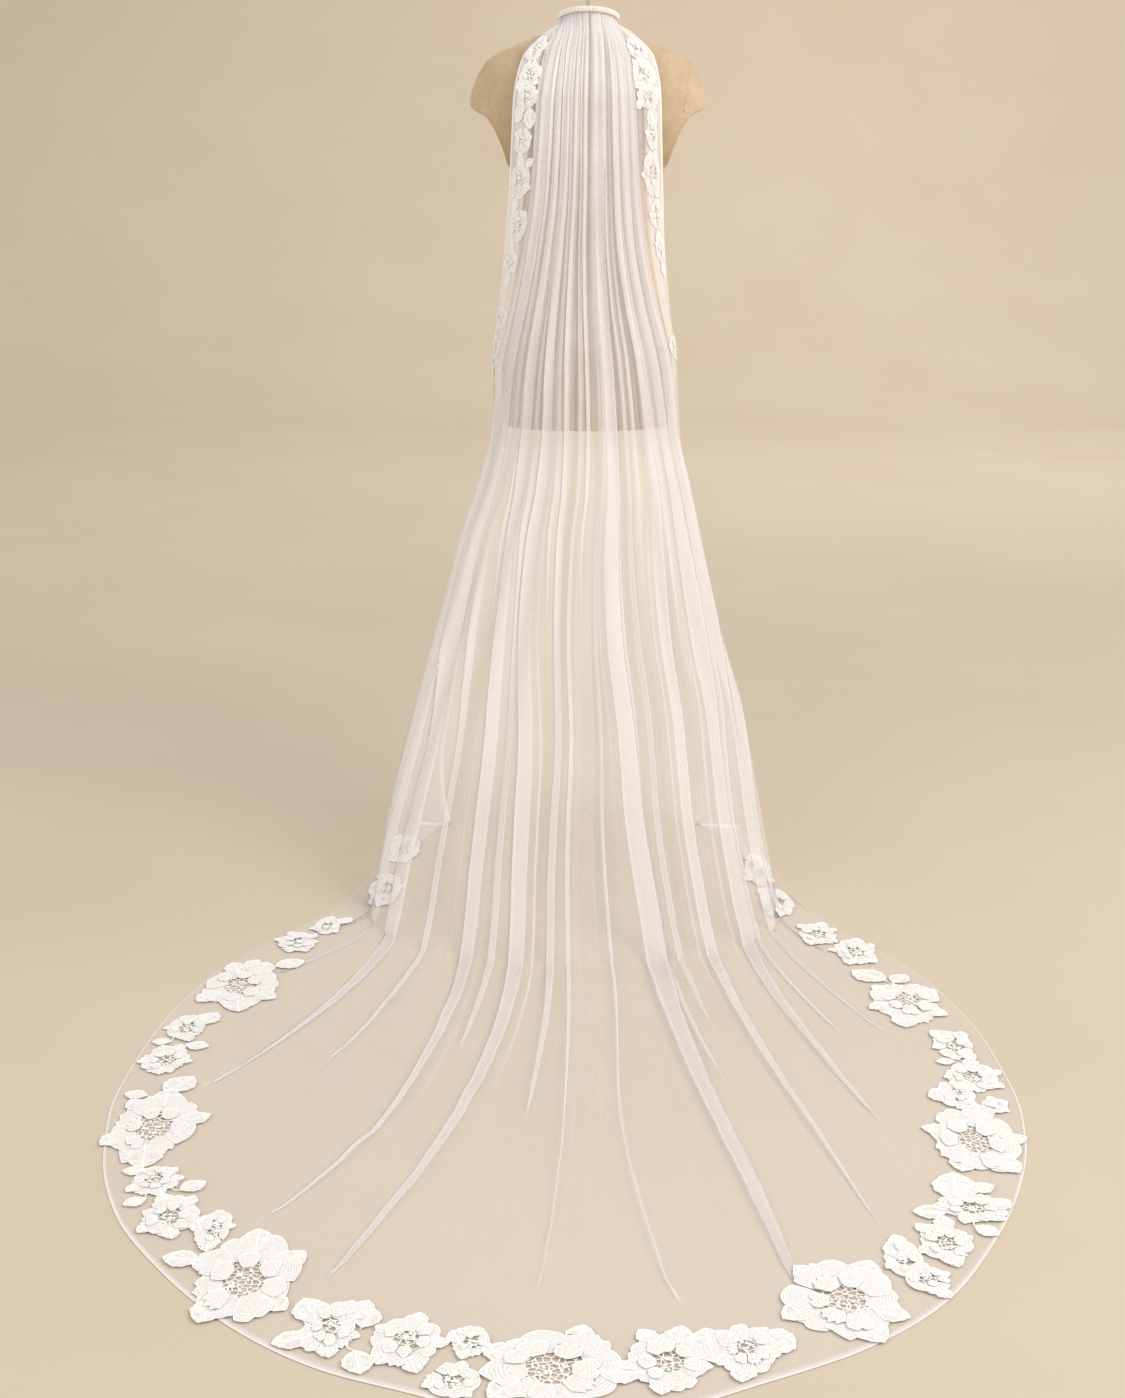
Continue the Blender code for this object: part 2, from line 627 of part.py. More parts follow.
def make_edge_lace():
    """Motifs on the veil's hanging edges, made from the cloth's own points moved out."""
    points, normal, columns = veil_grid()
    outer = points + normal * WALL
    for entry in EDGE_LACE:
        lace = dict(zip(EDGE_COLUMNS, entry))

        def place(u, v):
            from_edge = lace["inset"] - u * lace["half_across"]
            across = lace["side"] * (1.0 - from_edge / CUT_HALF_WIDTH)
            down = 1.0 - (lace["height"] + v * lace["half_along"]) / top_height(across)
            row = np.interp(down, HANG_ROWS, np.arange(len(HANG_ROWS)))
            column = np.interp(across, columns, np.arange(len(columns)))
            out = grid_value(normal, row, column)
            gap = lace["seat"] + (EDGE_GAP - lace["seat"]) * (u * u + v * v)
            low = grid_value(outer, row, column) + out * gap
            return tuple(low), tuple(low + out * LACE_THICK)

        make_motif(lace["name"], lace["petals"], lace["half_across"], place, EDGE_RINGS)


def main():
    clear_scene()
    make_torso()
    make_cap()
    make_hook()
    make_comb()
    make_veil()
    make_band()
    make_train_lace()
    make_edge_lace()


main()
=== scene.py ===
"""Looks of a bridal veil on a hanging dress form.

The tulle is built finely from the same sizes as the solids, with pleats that fold over themselves. The
lace is modelled petal by petal in a flat pattern and laid on the cloth. Metres, +Z up, the origin is where
the hook hangs, and the train runs along -Y.
"""

import math
import random

import bmesh
import bpy
import numpy as np
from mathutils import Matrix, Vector
from mathutils.bvhtree import BVHTree


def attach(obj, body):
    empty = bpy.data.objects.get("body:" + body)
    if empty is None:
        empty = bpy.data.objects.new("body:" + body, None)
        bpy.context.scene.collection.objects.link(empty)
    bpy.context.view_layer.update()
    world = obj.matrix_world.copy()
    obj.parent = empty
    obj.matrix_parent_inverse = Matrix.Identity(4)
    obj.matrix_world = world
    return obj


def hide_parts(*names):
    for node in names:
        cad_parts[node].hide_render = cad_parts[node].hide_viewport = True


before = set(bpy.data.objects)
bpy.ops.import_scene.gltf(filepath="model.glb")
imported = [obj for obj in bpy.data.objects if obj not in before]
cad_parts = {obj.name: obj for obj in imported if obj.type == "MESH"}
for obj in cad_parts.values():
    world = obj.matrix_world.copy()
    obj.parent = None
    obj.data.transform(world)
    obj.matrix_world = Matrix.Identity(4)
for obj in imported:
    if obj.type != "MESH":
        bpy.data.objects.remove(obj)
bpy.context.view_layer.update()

# Sizes shared with the solids, heights above the floor
HANG_HEIGHT = 1.575
FLOOR = -HANG_HEIGHT
CUT_HALF_WIDTH = 0.75
BORDER_START = 0.9
TOP_HEIGHT = 1.510
TOP_ARCH = 0.012
TRAIN_LENGTH = 1.42

# Sections of the hanging cloth. The last three rows are wider than the solid's, up to 16 mm on a side, to
# come nearer the photograph's outline at the floor.
HANG_COLUMNS = ("height", "centre_x", "half_width", "turn", "centre_y", "back", "front", "share", "fold")
HANG = (
    (1.51, 0.0, 0.0525, 76, 0.0, 0.0525, 0.052, 0.1, 0.02),
    (1.486, 0.0, 0.0525, 76, 0.0, 0.0525, 0.052, 0.12, 0.02),
    (1.466, 0.001, 0.081, 72, -0.026, 0.045, 0.045, 0.4, 0.1),
    (1.42, 0.0, 0.126, 70, -0.067, 0.022, 0.04, 0.48, 0.2),
    (1.35, -0.002, 0.14, 70, -0.092, 0.026, 0.04, 0.46, 0.28),
    (1.263, -0.003, 0.143, 71, -0.092, 0.034, 0.05, 0.44, 0.32),
    (1.176, -0.004, 0.145, 74, -0.083, 0.044, 0.06, 0.42, 0.34),
    (1.087, -0.006, 0.148, 80, -0.072, 0.054, 0.07, 0.38, 0.38),
    (0.997, -0.006, 0.156, 88, -0.058, 0.07, 0.08, 0.34, 0.42),
    (0.886, -0.004, 0.17, 97, -0.044, 0.094, 0.09, 0.29, 0.48),
    (0.754, -0.002, 0.177, 105, -0.03, 0.118, 0.1, 0.25, 0.56),
    (0.665, -0.003, 0.193, 109, -0.055, 0.118, 0.13, 0.23, 0.66),
    (0.578, -0.01, 0.213, 113, -0.095, 0.113, 0.18, 0.21, 0.76),
    (0.461, -0.014, 0.237, 117, -0.165, 0.112, 0.27, 0.19, 0.88),
    (0.38, -0.016, 0.256, 120, -0.22, 0.116, 0.33, 0.18, 0.95),
    (0.301, -0.016, 0.277, 123, -0.285, 0.122, 0.4, 0.17, 1.0),
    (0.225, -0.019, 0.296, 125, -0.35, 0.132, 0.47, 0.17, 1.0),
    (0.15, -0.024, 0.314, 127, -0.42, 0.148, 0.53, 0.17, 0.92),
    (0.079, -0.026, 0.33, 131, -0.49, 0.172, 0.58, 0.17, 0.76),
    (0.03, -0.025, 0.34, 134, -0.54, 0.204, 0.61, 0.17, 0.58),
    (0.0, -0.024, 0.348, 137, -0.58, 0.25, 0.63, 0.17, 0.42),
)
# The hem on the floor, from the free edges to the middle of the cloth, on both sides
HEM_COLUMNS = ("across", "left_x", "left_y", "right_x", "right_y")
HEM = (
    (1.0, -0.322, -0.11, 0.292, -0.13),
    (0.95, -0.357, -0.255, 0.318, -0.27),
    (0.9, -0.394, -0.405, 0.345, -0.415),
    (0.85, -0.43, -0.56, 0.37, -0.57),
    (0.795, -0.49, -0.665, 0.428, -0.69),
    (0.735, -0.56, -0.775, 0.498, -0.815),
    (0.67, -0.612, -0.905, 0.545, -0.955),
    (0.6, -0.648, -1.08, 0.572, -1.11),
    (0.53, -0.66, -1.27, 0.577, -1.27),
    (0.455, -0.638, -1.445, 0.56, -1.41),
    (0.38, -0.59, -1.59, 0.52, -1.54),
    (0.3, -0.515, -1.71, 0.46, -1.665),
    (0.22, -0.41, -1.83, 0.385, -1.78),
    (0.145, -0.305, -1.907, 0.285, -1.868),
    (0.09, -0.197, -1.952, 0.165, -1.932),
    (0.045, -0.122, -1.984, 0.06, -1.978),
    (0.0, -0.045, -1.998, -0.045, -1.998),
)
# The broad folds that the solid has too
FOLDS = (
    (-0.815, 0.085, 0.044, 0.35),
    (-0.65, 0.08, 0.04, 0.8),
    (-0.49, 0.08, 0.044, 0.85),
    (-0.33, 0.078, 0.038, 0.75),
    (-0.175, 0.076, 0.042, 0.8),
    (-0.03, 0.07, 0.036, 0.85),
    (0.115, 0.074, 0.042, 0.75),
    (0.27, 0.078, 0.038, 0.7),
    (0.43, 0.08, 0.044, 0.85),
    (0.595, 0.082, 0.04, 0.8),
    (0.765, 0.085, 0.044, 0.6),
)

# Pleats that fold over themselves. Their centres across the cloth at seven levels, the width of the flat
# band they make in metres, how high they stand, and the level on the floor where they run out.
PLEAT_LEVELS = (0.04, 0.483, 0.682, 0.868, 1.0, 1.45, 1.92)
PLEATS = (
    (-0.85, -0.84, -0.83, -0.801, -0.78, -0.78, -0.78, 0.01, 0.008, 1.1),
    (-0.79, -0.77, -0.75, -0.703, -0.68, -0.7, -0.7, 0.02, 0.012, 1.45),
    (-0.72, -0.69, -0.64, -0.589, -0.58, -0.6, -0.6, 0.018, 0.01, 1.62),
    (-0.65, -0.6, -0.55, -0.449, -0.435, -0.415, -0.43, 0.04, 0.014, 1.8),
    (-0.58, -0.52, -0.45, -0.359, -0.33, -0.33, -0.34, 0.014, 0.01, 1.55),
    (-0.51, -0.45, -0.38, -0.3, -0.27, -0.28, -0.3, 0.012, 0.008, 0.8),
    (-0.44, -0.4, -0.3, -0.235, -0.215, -0.195, -0.26, 0.026, 0.012, 1.88),
    (-0.37, -0.33, -0.25, -0.186, -0.165, -0.165, -0.22, 0.012, 0.008, 1.35),
    (-0.3, -0.225, -0.19, -0.114, -0.098, -0.118, -0.165, 0.03, 0.013, 1.92),
    (-0.23, -0.165, -0.12, -0.075, -0.07, -0.085, -0.11, 0.012, 0.008, 0.82),
    (-0.16, -0.11, -0.075, -0.041, -0.04, -0.05, -0.06, 0.014, 0.01, 1.5),
    (-0.08, -0.02, -0.03, -0.007, -0.005, -0.005, -0.018, 0.008, 0.01, 1.86),
    (-0.01, 0.035, 0.012, 0.02, 0.02, 0.008, 0, 0.012, 0.01, 0.78),
    (0.06, 0.075, 0.045, 0.051, 0.055, 0.03, 0.05, 0.008, 0.01, 1.9),
    (0.13, 0.12, 0.085, 0.114, 0.14, 0.125, 0.115, 0.036, 0.014, 1.92),
    (0.2, 0.18, 0.15, 0.161, 0.18, 0.165, 0.145, 0.01, 0.008, 1.45),
    (0.27, 0.24, 0.21, 0.207, 0.215, 0.195, 0.165, 0.01, 0.008, 1.3),
    (0.34, 0.31, 0.26, 0.246, 0.245, 0.215, 0.185, 0.01, 0.008, 0.78),
    (0.41, 0.4, 0.325, 0.292, 0.285, 0.24, 0.2, 0.024, 0.012, 1.88),
    (0.48, 0.47, 0.41, 0.354, 0.335, 0.28, 0.24, 0.012, 0.008, 0.85),
    (0.55, 0.54, 0.5, 0.42, 0.395, 0.33, 0.285, 0.034, 0.014, 1.72),
    (0.62, 0.61, 0.58, 0.485, 0.45, 0.4, 0.35, 0.014, 0.01, 1.5),
    (0.69, 0.68, 0.66, 0.562, 0.52, 0.47, 0.43, 0.026, 0.012, 1.62),
    (0.76, 0.75, 0.74, 0.66, 0.62, 0.6, 0.58, 0.016, 0.01, 1.4),
    (0.83, 0.83, 0.82, 0.783, 0.76, 0.76, 0.76, 0.01, 0.008, 1.1),
)
# How much of its width a pleat's band has from the top down to the hem
BAND_LEVELS = (
    (0.0, 0.3), (0.04, 0.42), (0.3, 0.48), (0.48, 0.6), (0.68, 0.9), (0.87, 1.0), (1.0, 1.0), (2.0, 1.0),
)
# The same for how high it stands
DEPTH_LEVELS = (
    (0.0, 0.15), (0.04, 0.45), (0.3, 0.6), (0.48, 0.75), (0.68, 1.0), (0.87, 1.0), (1.0, 0.7),
    (1.3, 0.5), (2.0, 0.4),
)
# How much of what lies behind one layer of the net hides, by level
COVER_LEVELS = (
    (0.0, 0.52), (0.12, 0.57), (0.35, 0.48), (0.6, 0.31), (0.9, 0.21), (1.15, 0.23), (2.0, 0.19),
)
# Lengths of the streaks across the cloth, in columns
STREAKS = (2.3, 3.1, 4.7, 7.9, 13.0)

# The net lies flatter than the solid's broad folds, and its pleats lie nearly flat on it
BROAD_SHARE = 0.30
DEPTH_SHARE = 0.30
# The net stands this far off the form, so that the two never touch
SKIN_GAP = 0.0006
# How strongly the cloth's edges show as folded
EDGE_CREASE = 0.8
# Out to the first of these places across the cloth, its lines curve where it meets the floor. Beyond the
# second they run straight.
CURVE_ENDS = (0.84, 0.97)
# How far before its end a pleat starts to fade, where it ends on the floor and where it ends above it
PLEAT_TAPERS = (0.10, 0.26)
# The share of its width that a pleat keeps where it runs out on the floor, and how the width falls to it
PLEAT_TIP = 0.20
PLEAT_FALL = 1.1
# Cells of the mesh across a pleat, the gap beside it and a border, and down the hanging and the lying part
PLEAT_CELLS = 12
GAP_CELLS = 3
BORDER_CELLS = 11
HANG_CELLS = 118
TRAIN_CELLS = 96
HEM_CELL = 0.0016
GATHER_RISE = 0.0006
WRINKLE_RISE = 0.0011
WRINKLE_COUNT = 9


# Tables and small tools
def fine_table(rows, steps=40):
    """The rows with `steps` more between each two, on smooth curves that never overshoot a row."""
    table = np.array(rows, dtype=float)
    table = table[np.argsort(table[:, 0])]
    drive = table[:, 0]
    secants = np.diff(table, axis=0) / np.diff(drive)[:, None]
    product = secants[:-1] * secants[1:]
    total = np.where(product > 0, secants[:-1] + secants[1:], 1.0)
    inside = np.where(product > 0, 2.0 * product / total, 0.0)
    slopes = np.vstack([secants[:1], inside, secants[-1:]])
    fine = []
    for low in range(len(table) - 1):
        span = drive[low + 1] - drive[low]
        for step in range(steps):
            f = step / steps
            fine.append(
                (2 * f**3 - 3 * f**2 + 1) * table[low]
                + (f**3 - 2 * f**2 + f) * span * slopes[low]
                + (-2 * f**3 + 3 * f**2) * table[low + 1]
                + (f**3 - f**2) * span * slopes[low + 1]
            )
    fine.append(table[-1])
    return np.array(fine)


def read_table(fine, columns, drive):
    return {name: np.interp(drive, fine[:, 0], fine[:, i]) for i, name in enumerate(columns)}


def smooth_step(value, start, end):
    ratio = np.clip((value - start) / (end - start), 0.0, 1.0)
    return ratio * ratio * (3.0 - 2.0 * ratio)


HANG_FINE = fine_table(HANG)
HEM_FINE = fine_table(HEM)


# The smooth cloth under its pleats
def edge_share(across, share):
    inner = (1.0 - share) * np.minimum(across, BORDER_START) / BORDER_START
    outer = share * np.maximum(across - BORDER_START, 0.0) / (1.0 - BORDER_START)
    return inner + outer


def hang_point(across, height):
    level = read_table(HANG_FINE, HANG_COLUMNS, height)
    angle = np.radians(level["turn"]) * edge_share(np.abs(across), level["share"]) * np.sign(across)
    depth = np.where(np.cos(angle) > 0, level["back"], level["front"])
    x = level["centre_x"] + level["half_width"] * np.sin(angle)
    y = level["centre_y"] - depth * np.cos(angle)
    return np.stack([x, y, height + 0.0 * x], axis=-1)


def hem_point(across):
    row = read_table(HEM_FINE, HEM_COLUMNS, np.abs(across))
    left = across < 0
    x = np.where(left, row["left_x"], row["right_x"])
    y = np.where(left, row["left_y"], row["right_y"])
    return np.stack([x, y, 0.0 * x], axis=-1)


def top_height(across):
    return TOP_HEIGHT - TOP_ARCH * edge_share(np.abs(across), HANG[0][HANG_COLUMNS.index("share")]) ** 2


def smooth_cloth(across, level):
    """The cloth without pleats. `level` runs 0 to 1 from the band to the floor, then to 2 at the hem."""
    across = np.clip(across, -1.0, 1.0)
    height = top_height(across) * (1.0 - np.clip(level, 0.0, 1.0))
    hanging = hang_point(across, height)
    along = np.clip(level - 1.0, 0.0, 1.0)[..., None]
    way = hem_point(across) - hanging
    # The lines of the cloth leave the touch-down in the direction they came down, then turn to the hem.
    above = hang_point(across, 0.0 * height + 0.05)
    start = (hang_point(across, 0.0 * height) - above) * np.array([1.0, 1.0, 0.0])
    start *= np.linalg.norm(way, axis=-1, keepdims=True) / np.linalg.norm(start, axis=-1, keepdims=True)
    turn = (1.0 - smooth_step(np.abs(across), *CURVE_ENDS))[..., None]
    lying = hanging + way * along + (start - way) * turn * along * (1.0 - along) ** 2
    return np.where(along > 0, lying, hanging)


def cloth_normals(across, level):
    """Unit normals of the smooth cloth, away from the form and up from the floor."""
    reach = 0.012
    side = smooth_cloth(across + reach, level) - smooth_cloth(across - reach, level)
    lower, upper = np.clip(level + reach, 0, 2), np.clip(level - reach, 0, 2)
    down = smooth_cloth(across, lower) - smooth_cloth(across, upper)
    normal = np.cross(down, side)
    normal /= np.maximum(np.linalg.norm(normal, axis=-1, keepdims=True), 1e-12)
    up = np.array([0.0, 0.0, 1.0])
    lying = smooth_step(level, 0.985, 1.03)[..., None]
    normal = normal * (1.0 - lying) + up * lying
    return normal / np.maximum(np.linalg.norm(normal, axis=-1, keepdims=True), 1e-12)


def broad_folds(across, level, points):
    """How far the broad folds of the solid lift the cloth."""
    size = np.interp(points[..., 2], HANG_FINE[:, 0], HANG_FINE[:, HANG_COLUMNS.index("fold")])
    lift = np.zeros(across.shape)
    for place, width, deepest, reach in FOLDS:
        offset = np.clip(np.abs(across - place) / width, 0.0, 1.0)
        fade = 1.0 - smooth_step(level - 1.0, 0.0, reach)
        lift += deepest * size * fade * np.cos(offset * math.pi / 2) ** 2
    return lift * hem_fade(points, level, 0.165, 0.385) * BROAD_SHARE


def hem_fade(points, level, start, end):
    """0 at the hem and 1 away from it, for points on the floor."""
    line = hem_point(np.linspace(-1.0, 1.0, 161))[:, :2]
    flat = points[..., :2].reshape(-1, 2)
    gap = np.full(len(flat), 1e9)
    for spot in line:
        gap = np.minimum(gap, np.hypot(flat[:, 0] - spot[0], flat[:, 1] - spot[1]))
    return np.where(level > 1.0, smooth_step(gap.reshape(level.shape), start, end), 1.0)


def cloth_point(across, level, lift):
    """A place `lift` above the cloth's outer side, for what is sewn on it, in the part's own frame."""
    points = smooth_cloth(across, level)
    height = broad_folds(across, level, points) + lift
    points = points + cloth_normals(across, level) * height[..., None]
    return points + np.array([0.0, 0.0, FLOOR])


# Building and finishing pieces
def grid_mesh(name, columns, rows):
    """A flat grid mesh with the column and row number of each vertex."""
    grid = bmesh.new()
    bmesh.ops.create_grid(grid, x_segments=columns, y_segments=rows, size=1.0)
    mesh = bpy.data.meshes.new(name)
    grid.to_mesh(mesh)
    grid.free()
    flat = np.empty(len(mesh.vertices) * 3)
    mesh.vertices.foreach_get("co", flat)
    flat = flat.reshape(-1, 3)
    column = np.rint((flat[:, 0] + 1.0) / 2.0 * columns).astype(int)
    row = np.rint((flat[:, 1] + 1.0) / 2.0 * rows).astype(int)
    return mesh, column, row


def set_points(mesh, points):
    mesh.vertices.foreach_set("co", np.ascontiguousarray(points, dtype=np.float32).ravel())
    mesh.update()


def set_value(mesh, name, values):
    layer = mesh.attributes.new(name, "FLOAT", "POINT")
    layer.data.foreach_set("value", np.ascontiguousarray(values, dtype=np.float32))


def finish_piece(name, mesh, material, replaces=()):
    mesh.shade_smooth()
    mesh.materials.clear()
    mesh.materials.append(material)
    piece = bpy.data.objects.new(name, mesh)
    bpy.context.scene.collection.objects.link(piece)
    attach(piece, "root")
    for node in replaces:
        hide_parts(node)
    return piece


# The pleated tulle
def pleat_rows(levels):
    """Each pleat's centre, run-out and size at every level of the cloth."""
    places = np.array([row[:7] for row in PLEATS])
    fine = fine_table([(level, *places[:, i]) for i, level in enumerate(PLEAT_LEVELS)])
    centre = np.stack([np.interp(levels, fine[:, 0], fine[:, i + 1]) for i in range(len(PLEATS))], axis=1)
    band, depth, reach = np.array([row[7:] for row in PLEATS]).T
    lying = np.clip((levels[:, None] - 1.0) / np.maximum(reach[None] - 1.0, 0.05), 0.0, 1.0)
    taper = np.where(reach > 1.0, *PLEAT_TAPERS)
    alive = np.clip((reach[None] - levels[:, None]) / taper[None], 0.0, 1.0)
    narrow = PLEAT_TIP + (1.0 - PLEAT_TIP) * (1.0 - lying) ** PLEAT_FALL
    bands = band[None] * np.interp(levels, *zip(*BAND_LEVELS))[:, None] * alive * narrow
    tall = np.interp(levels, *zip(*DEPTH_LEVELS))[:, None]
    depths = DEPTH_SHARE * depth[None] * tall * alive**0.7 * narrow**0.5
    return centre, alive, bands, depths


def cloth_levels():
    hanging = np.linspace(0.0, 1.0, HANG_CELLS + 1)[:-1] ** 0.96
    lying = 1.0 + np.linspace(0.0, 1.0, TRAIN_CELLS + 1)
    return np.concatenate([hanging, lying[:-1], [lying[-1] - HEM_CELL / TRAIN_LENGTH, lying[-1]]])


def cloth_columns():
    """For each column: the pleat that it lies in, or -1, and how far through that pleat it is."""
    pleat = [-1] * (BORDER_CELLS + 1)
    through = [0.0] * (BORDER_CELLS + 1)
    for index in range(len(PLEATS)):
        pleat += [-1] * (GAP_CELLS - 1) + [index] * (PLEAT_CELLS + 1)
        through += [0.0] * (GAP_CELLS - 1) + list(np.linspace(-1.0, 1.0, PLEAT_CELLS + 1))
    pleat += [-1] * (GAP_CELLS - 1) + [-1] * (BORDER_CELLS + 1)
    through += [0.0] * (GAP_CELLS - 1 + BORDER_CELLS + 1)
    return np.array(pleat), np.array(through)


def lay_columns(pleat, centre, left, right):
    """Where the columns lie across the smooth cloth at one level, before the pleats fold over."""
    count = len(pleat)
    edge = HEM_CELL / CUT_HALF_WIDTH
    knots = {0: -1.0, 1: -1.0 + edge, BORDER_CELLS: -BORDER_START}
    knots.update({count - 1 - BORDER_CELLS: BORDER_START, count - 2: 1.0 - edge, count - 1: 1.0})
    for index in range(len(PLEATS)):
        own = np.flatnonzero(pleat == index)
        knots[own[0]] = centre[index] - left[index]
        knots[own[len(own) // 2]] = centre[index]
        knots[own[-1]] = centre[index] + right[index]
    spots = sorted(knots)
    return np.interp(np.arange(count), spots, [knots[i] for i in spots])


def make_tulle(material):
    """The main panel: one sheet whose pleats lean outwards and fold over themselves."""
    pleat, through = cloth_columns()
    levels = cloth_levels()
    centre, alive, bands, depths = pleat_rows(levels)
    ends = np.full((len(levels), 1), BORDER_START)
    gaps = np.diff(np.hstack([-ends, centre, ends]), axis=1)
    room = 0.44 - 0.24 * alive
    left, right = gaps[:, :-1] * room, gaps[:, 1:] * room
    half = (left + right) / 2.0
    level_grid = np.repeat(levels[:, None], centre.shape[1], axis=1)
    step = smooth_cloth(centre + 0.01, level_grid) - smooth_cloth(centre - 0.01, level_grid)
    scale = np.linalg.norm(step, axis=-1) / 0.02
    over = (bands + 0.9 * half * scale * alive) / scale
    lean = np.sign(centre[0])
    base = np.array([lay_columns(pleat, centre[r], left[r], right[r]) for r in range(len(levels))])
    crest = np.cos(through * math.pi / 2) ** 2
    inside = pleat >= 0
    shift = np.where(inside, lean[pleat] * over[:, pleat] * crest, 0.0)
    across = base + shift
    grid_level = np.repeat(levels[:, None], across.shape[1], axis=1)
    points = smooth_cloth(across, grid_level)
    lift = np.where(inside, depths[:, pleat] * crest, 0.0) * hem_fade(points, grid_level, 0.10, 0.26)
    lift += broad_folds(across, grid_level, points)
    lift += gathers(across.shape, grid_level) + wrinkles(points, grid_level)
    points = points + cloth_normals(across, grid_level) * (lift + SKIN_GAP)[..., None]
    steps = over[:, pleat] / (PLEAT_CELLS / 2)
    slope = np.abs(np.gradient(across, axis=1)) / np.maximum(steps, 1e-6)
    crease = np.exp(-((slope / 0.5) ** 2)) * np.where(inside, alive[:, pleat], 0.0)
    crease[:, :2] = crease[:, -2:] = EDGE_CREASE
    crease[-2:] = EDGE_CREASE
    cover = layer_cover(across.shape, grid_level)
    mesh, column, row = grid_mesh("veil_cloth", across.shape[1] - 1, across.shape[0] - 1)
    place = points[row, column] + np.array([0.0, 0.0, FLOOR])
    set_points(mesh, place)
    set_value(mesh, "crease", crease[row, column])
    set_value(mesh, "cover", cover[row, column])
    mesh.flip_normals()
    set_value(mesh, "weft", column * 0.0035)
    set_value(mesh, "warp", grid_level[row, column] * TOP_HEIGHT)
    return finish_piece("veil_cloth", mesh, material, ["veil_tulle"])


def layer_cover(shape, level):
    """How much of what lies behind one layer of net hides. It is uneven where fine gathers run down from the
    band, and more even on the floor."""
    rng = random.Random(11)
    column = np.arange(shape[1])[None] + 6.0 * smooth_step(level, 0.0, 1.0)
    streak = np.zeros(shape)
    for length in STREAKS:
        drift = rng.uniform(-5.0, 5.0)
        streak += np.sin(column * 2.0 * math.pi / length + rng.uniform(0.0, 6.28) + drift * level)
    strength = 0.30 - 0.16 * smooth_step(level, 0.3, 0.8) - 0.10 * smooth_step(level, 0.9, 1.3)
    cover = np.interp(level, *zip(*COVER_LEVELS))
    return cover * (1.0 + strength * streak / 2.2)


def gathers(shape, level):
    """Fine upright ripples under the band."""
    column = np.arange(shape[1])[None]
    wave = 0.5 + 0.5 * np.sin(column * 1.9 + 1.4 * np.sin(column * 0.23) + 2.0 * level)
    edge = np.clip(np.minimum(column, shape[1] - 1 - column) / 12.0 - 1.0, 0.0, 1.0)
    return GATHER_RISE * wave * edge * (1.0 - smooth_step(level, 0.05, 0.62))


def wrinkles(points, level):
    """Slight unevenness of the cloth on the floor, none at the lace."""
    rng = random.Random(7)
    x, y = points[..., 0], points[..., 1]
    total = np.zeros(level.shape)
    for _ in range(WRINKLE_COUNT):
        turn = rng.uniform(0.0, math.pi)
        length = rng.uniform(0.07, 0.24)
        phase = rng.uniform(0.0, 6.28)
        total += 0.5 + 0.5 * np.sin((x * math.cos(turn) + y * math.sin(turn)) * 6.28 / length + phase)
    fade = hem_fade(points, level, 0.14, 0.34) * smooth_step(level, 1.0, 1.08)
    return WRINKLE_RISE * total * fade


# Materials
def colour(code):
    """A colour from its sRGB hex code."""
    parts = [int(code[i:i + 2], 16) / 255.0 for i in (1, 3, 5)]
    return tuple(p / 12.92 if p <= 0.04045 else ((p + 0.055) / 1.055) ** 2.4 for p in parts) + (1.0,)


def fill(tree, node, inputs):
    """Gives a node's inputs their values, or links them where the value is a (node, output) pair."""
    for name, value in inputs.items():
        if isinstance(value, tuple) and isinstance(value[0], bpy.types.Node):
            tree.links.new(value[0].outputs[value[1]], node.inputs[name])
        else:
            node.inputs[name].default_value = value


def add(tree, kind, inputs=None, **settings):
    """One shader node."""
    made = tree.nodes.new("ShaderNode" + kind)
    for name, value in settings.items():
        setattr(made, name, value)
    fill(tree, made, inputs or {})
    return made


def start_material(name):
    made = bpy.data.materials.new(name)
    made.use_nodes = True
    return made, made.node_tree, made.node_tree.nodes["Principled BSDF"]


def own_space(tree):
    return add(tree, "TexCoord"), "Object"


def stored(tree, name):
    """A value stored on the mesh."""
    return add(tree, "Attribute", attribute_name=name), "Fac"


def calc(tree, operation, *inputs):
    return add(tree, "Math", dict(enumerate(inputs)), operation=operation), 0


def noise(tree, place, scale, detail):
    return add(tree, "TexNoise", {"Vector": place, "Scale": scale, "Detail": detail}), 0


def bump(tree, height, strength, distance):
    return add(tree, "Bump", {"Strength": strength, "Distance": distance, "Height": height}), 0


def spread(tree, source, low, high, start=0.0, end=1.0):
    """A value that runs from low to high while its source runs from start to end."""
    return add(tree, "MapRange", {0: source, 1: start, 2: end, 3: low, 4: high}), 0


def blend(tree, share, first, second):
    """A colour between two hex codes."""
    return add(tree, "Mix", {0: share, 6: colour(first), 7: colour(second)}, data_type="RGBA"), 2


def crackle(tree, place, scale):
    """The distance from the borders of small irregular cells."""
    return add(tree, "TexVoronoi", {"Vector": place, "Scale": scale}, feature="DISTANCE_TO_EDGE"), "Distance"


def tulle_material():
    """Silk tulle: a fine knotted net, seen as a white haze, thicker where layers and folded edges meet."""
    made, tree, shader = start_material("silk_tulle_net")
    place = add(tree, "CombineXYZ", {0: stored(tree, "weft"), 1: stored(tree, "warp")}), 0
    # The net's own cells are 1.2 mm wide. They are drawn 3 mm wide, as coarse as they need to show.
    threads = spread(tree, crackle(tree, place, 330.0), 1.10, 0.92, 0.02, 0.35)
    uneven = spread(tree, noise(tree, place, 9.0, 3.0), 0.9, 1.1, 0.3, 0.7)
    net = calc(tree, "MULTIPLY", stored(tree, "cover"), threads)
    net = calc(tree, "MULTIPLY", net, uneven)
    edge = calc(tree, "MULTIPLY_ADD", stored(tree, "crease"), 0.85, net)
    edge[0].use_clamp = True
    fill(tree, shader, {
        "Base Color": colour("#FBF6F7"), "Roughness": 0.62, "Specular IOR Level": 0.2, "Alpha": edge,
        "Sheen Weight": 0.35, "Sheen Roughness": 0.4, "Sheen Tint": colour("#FFFDFA"),
    })
    return made


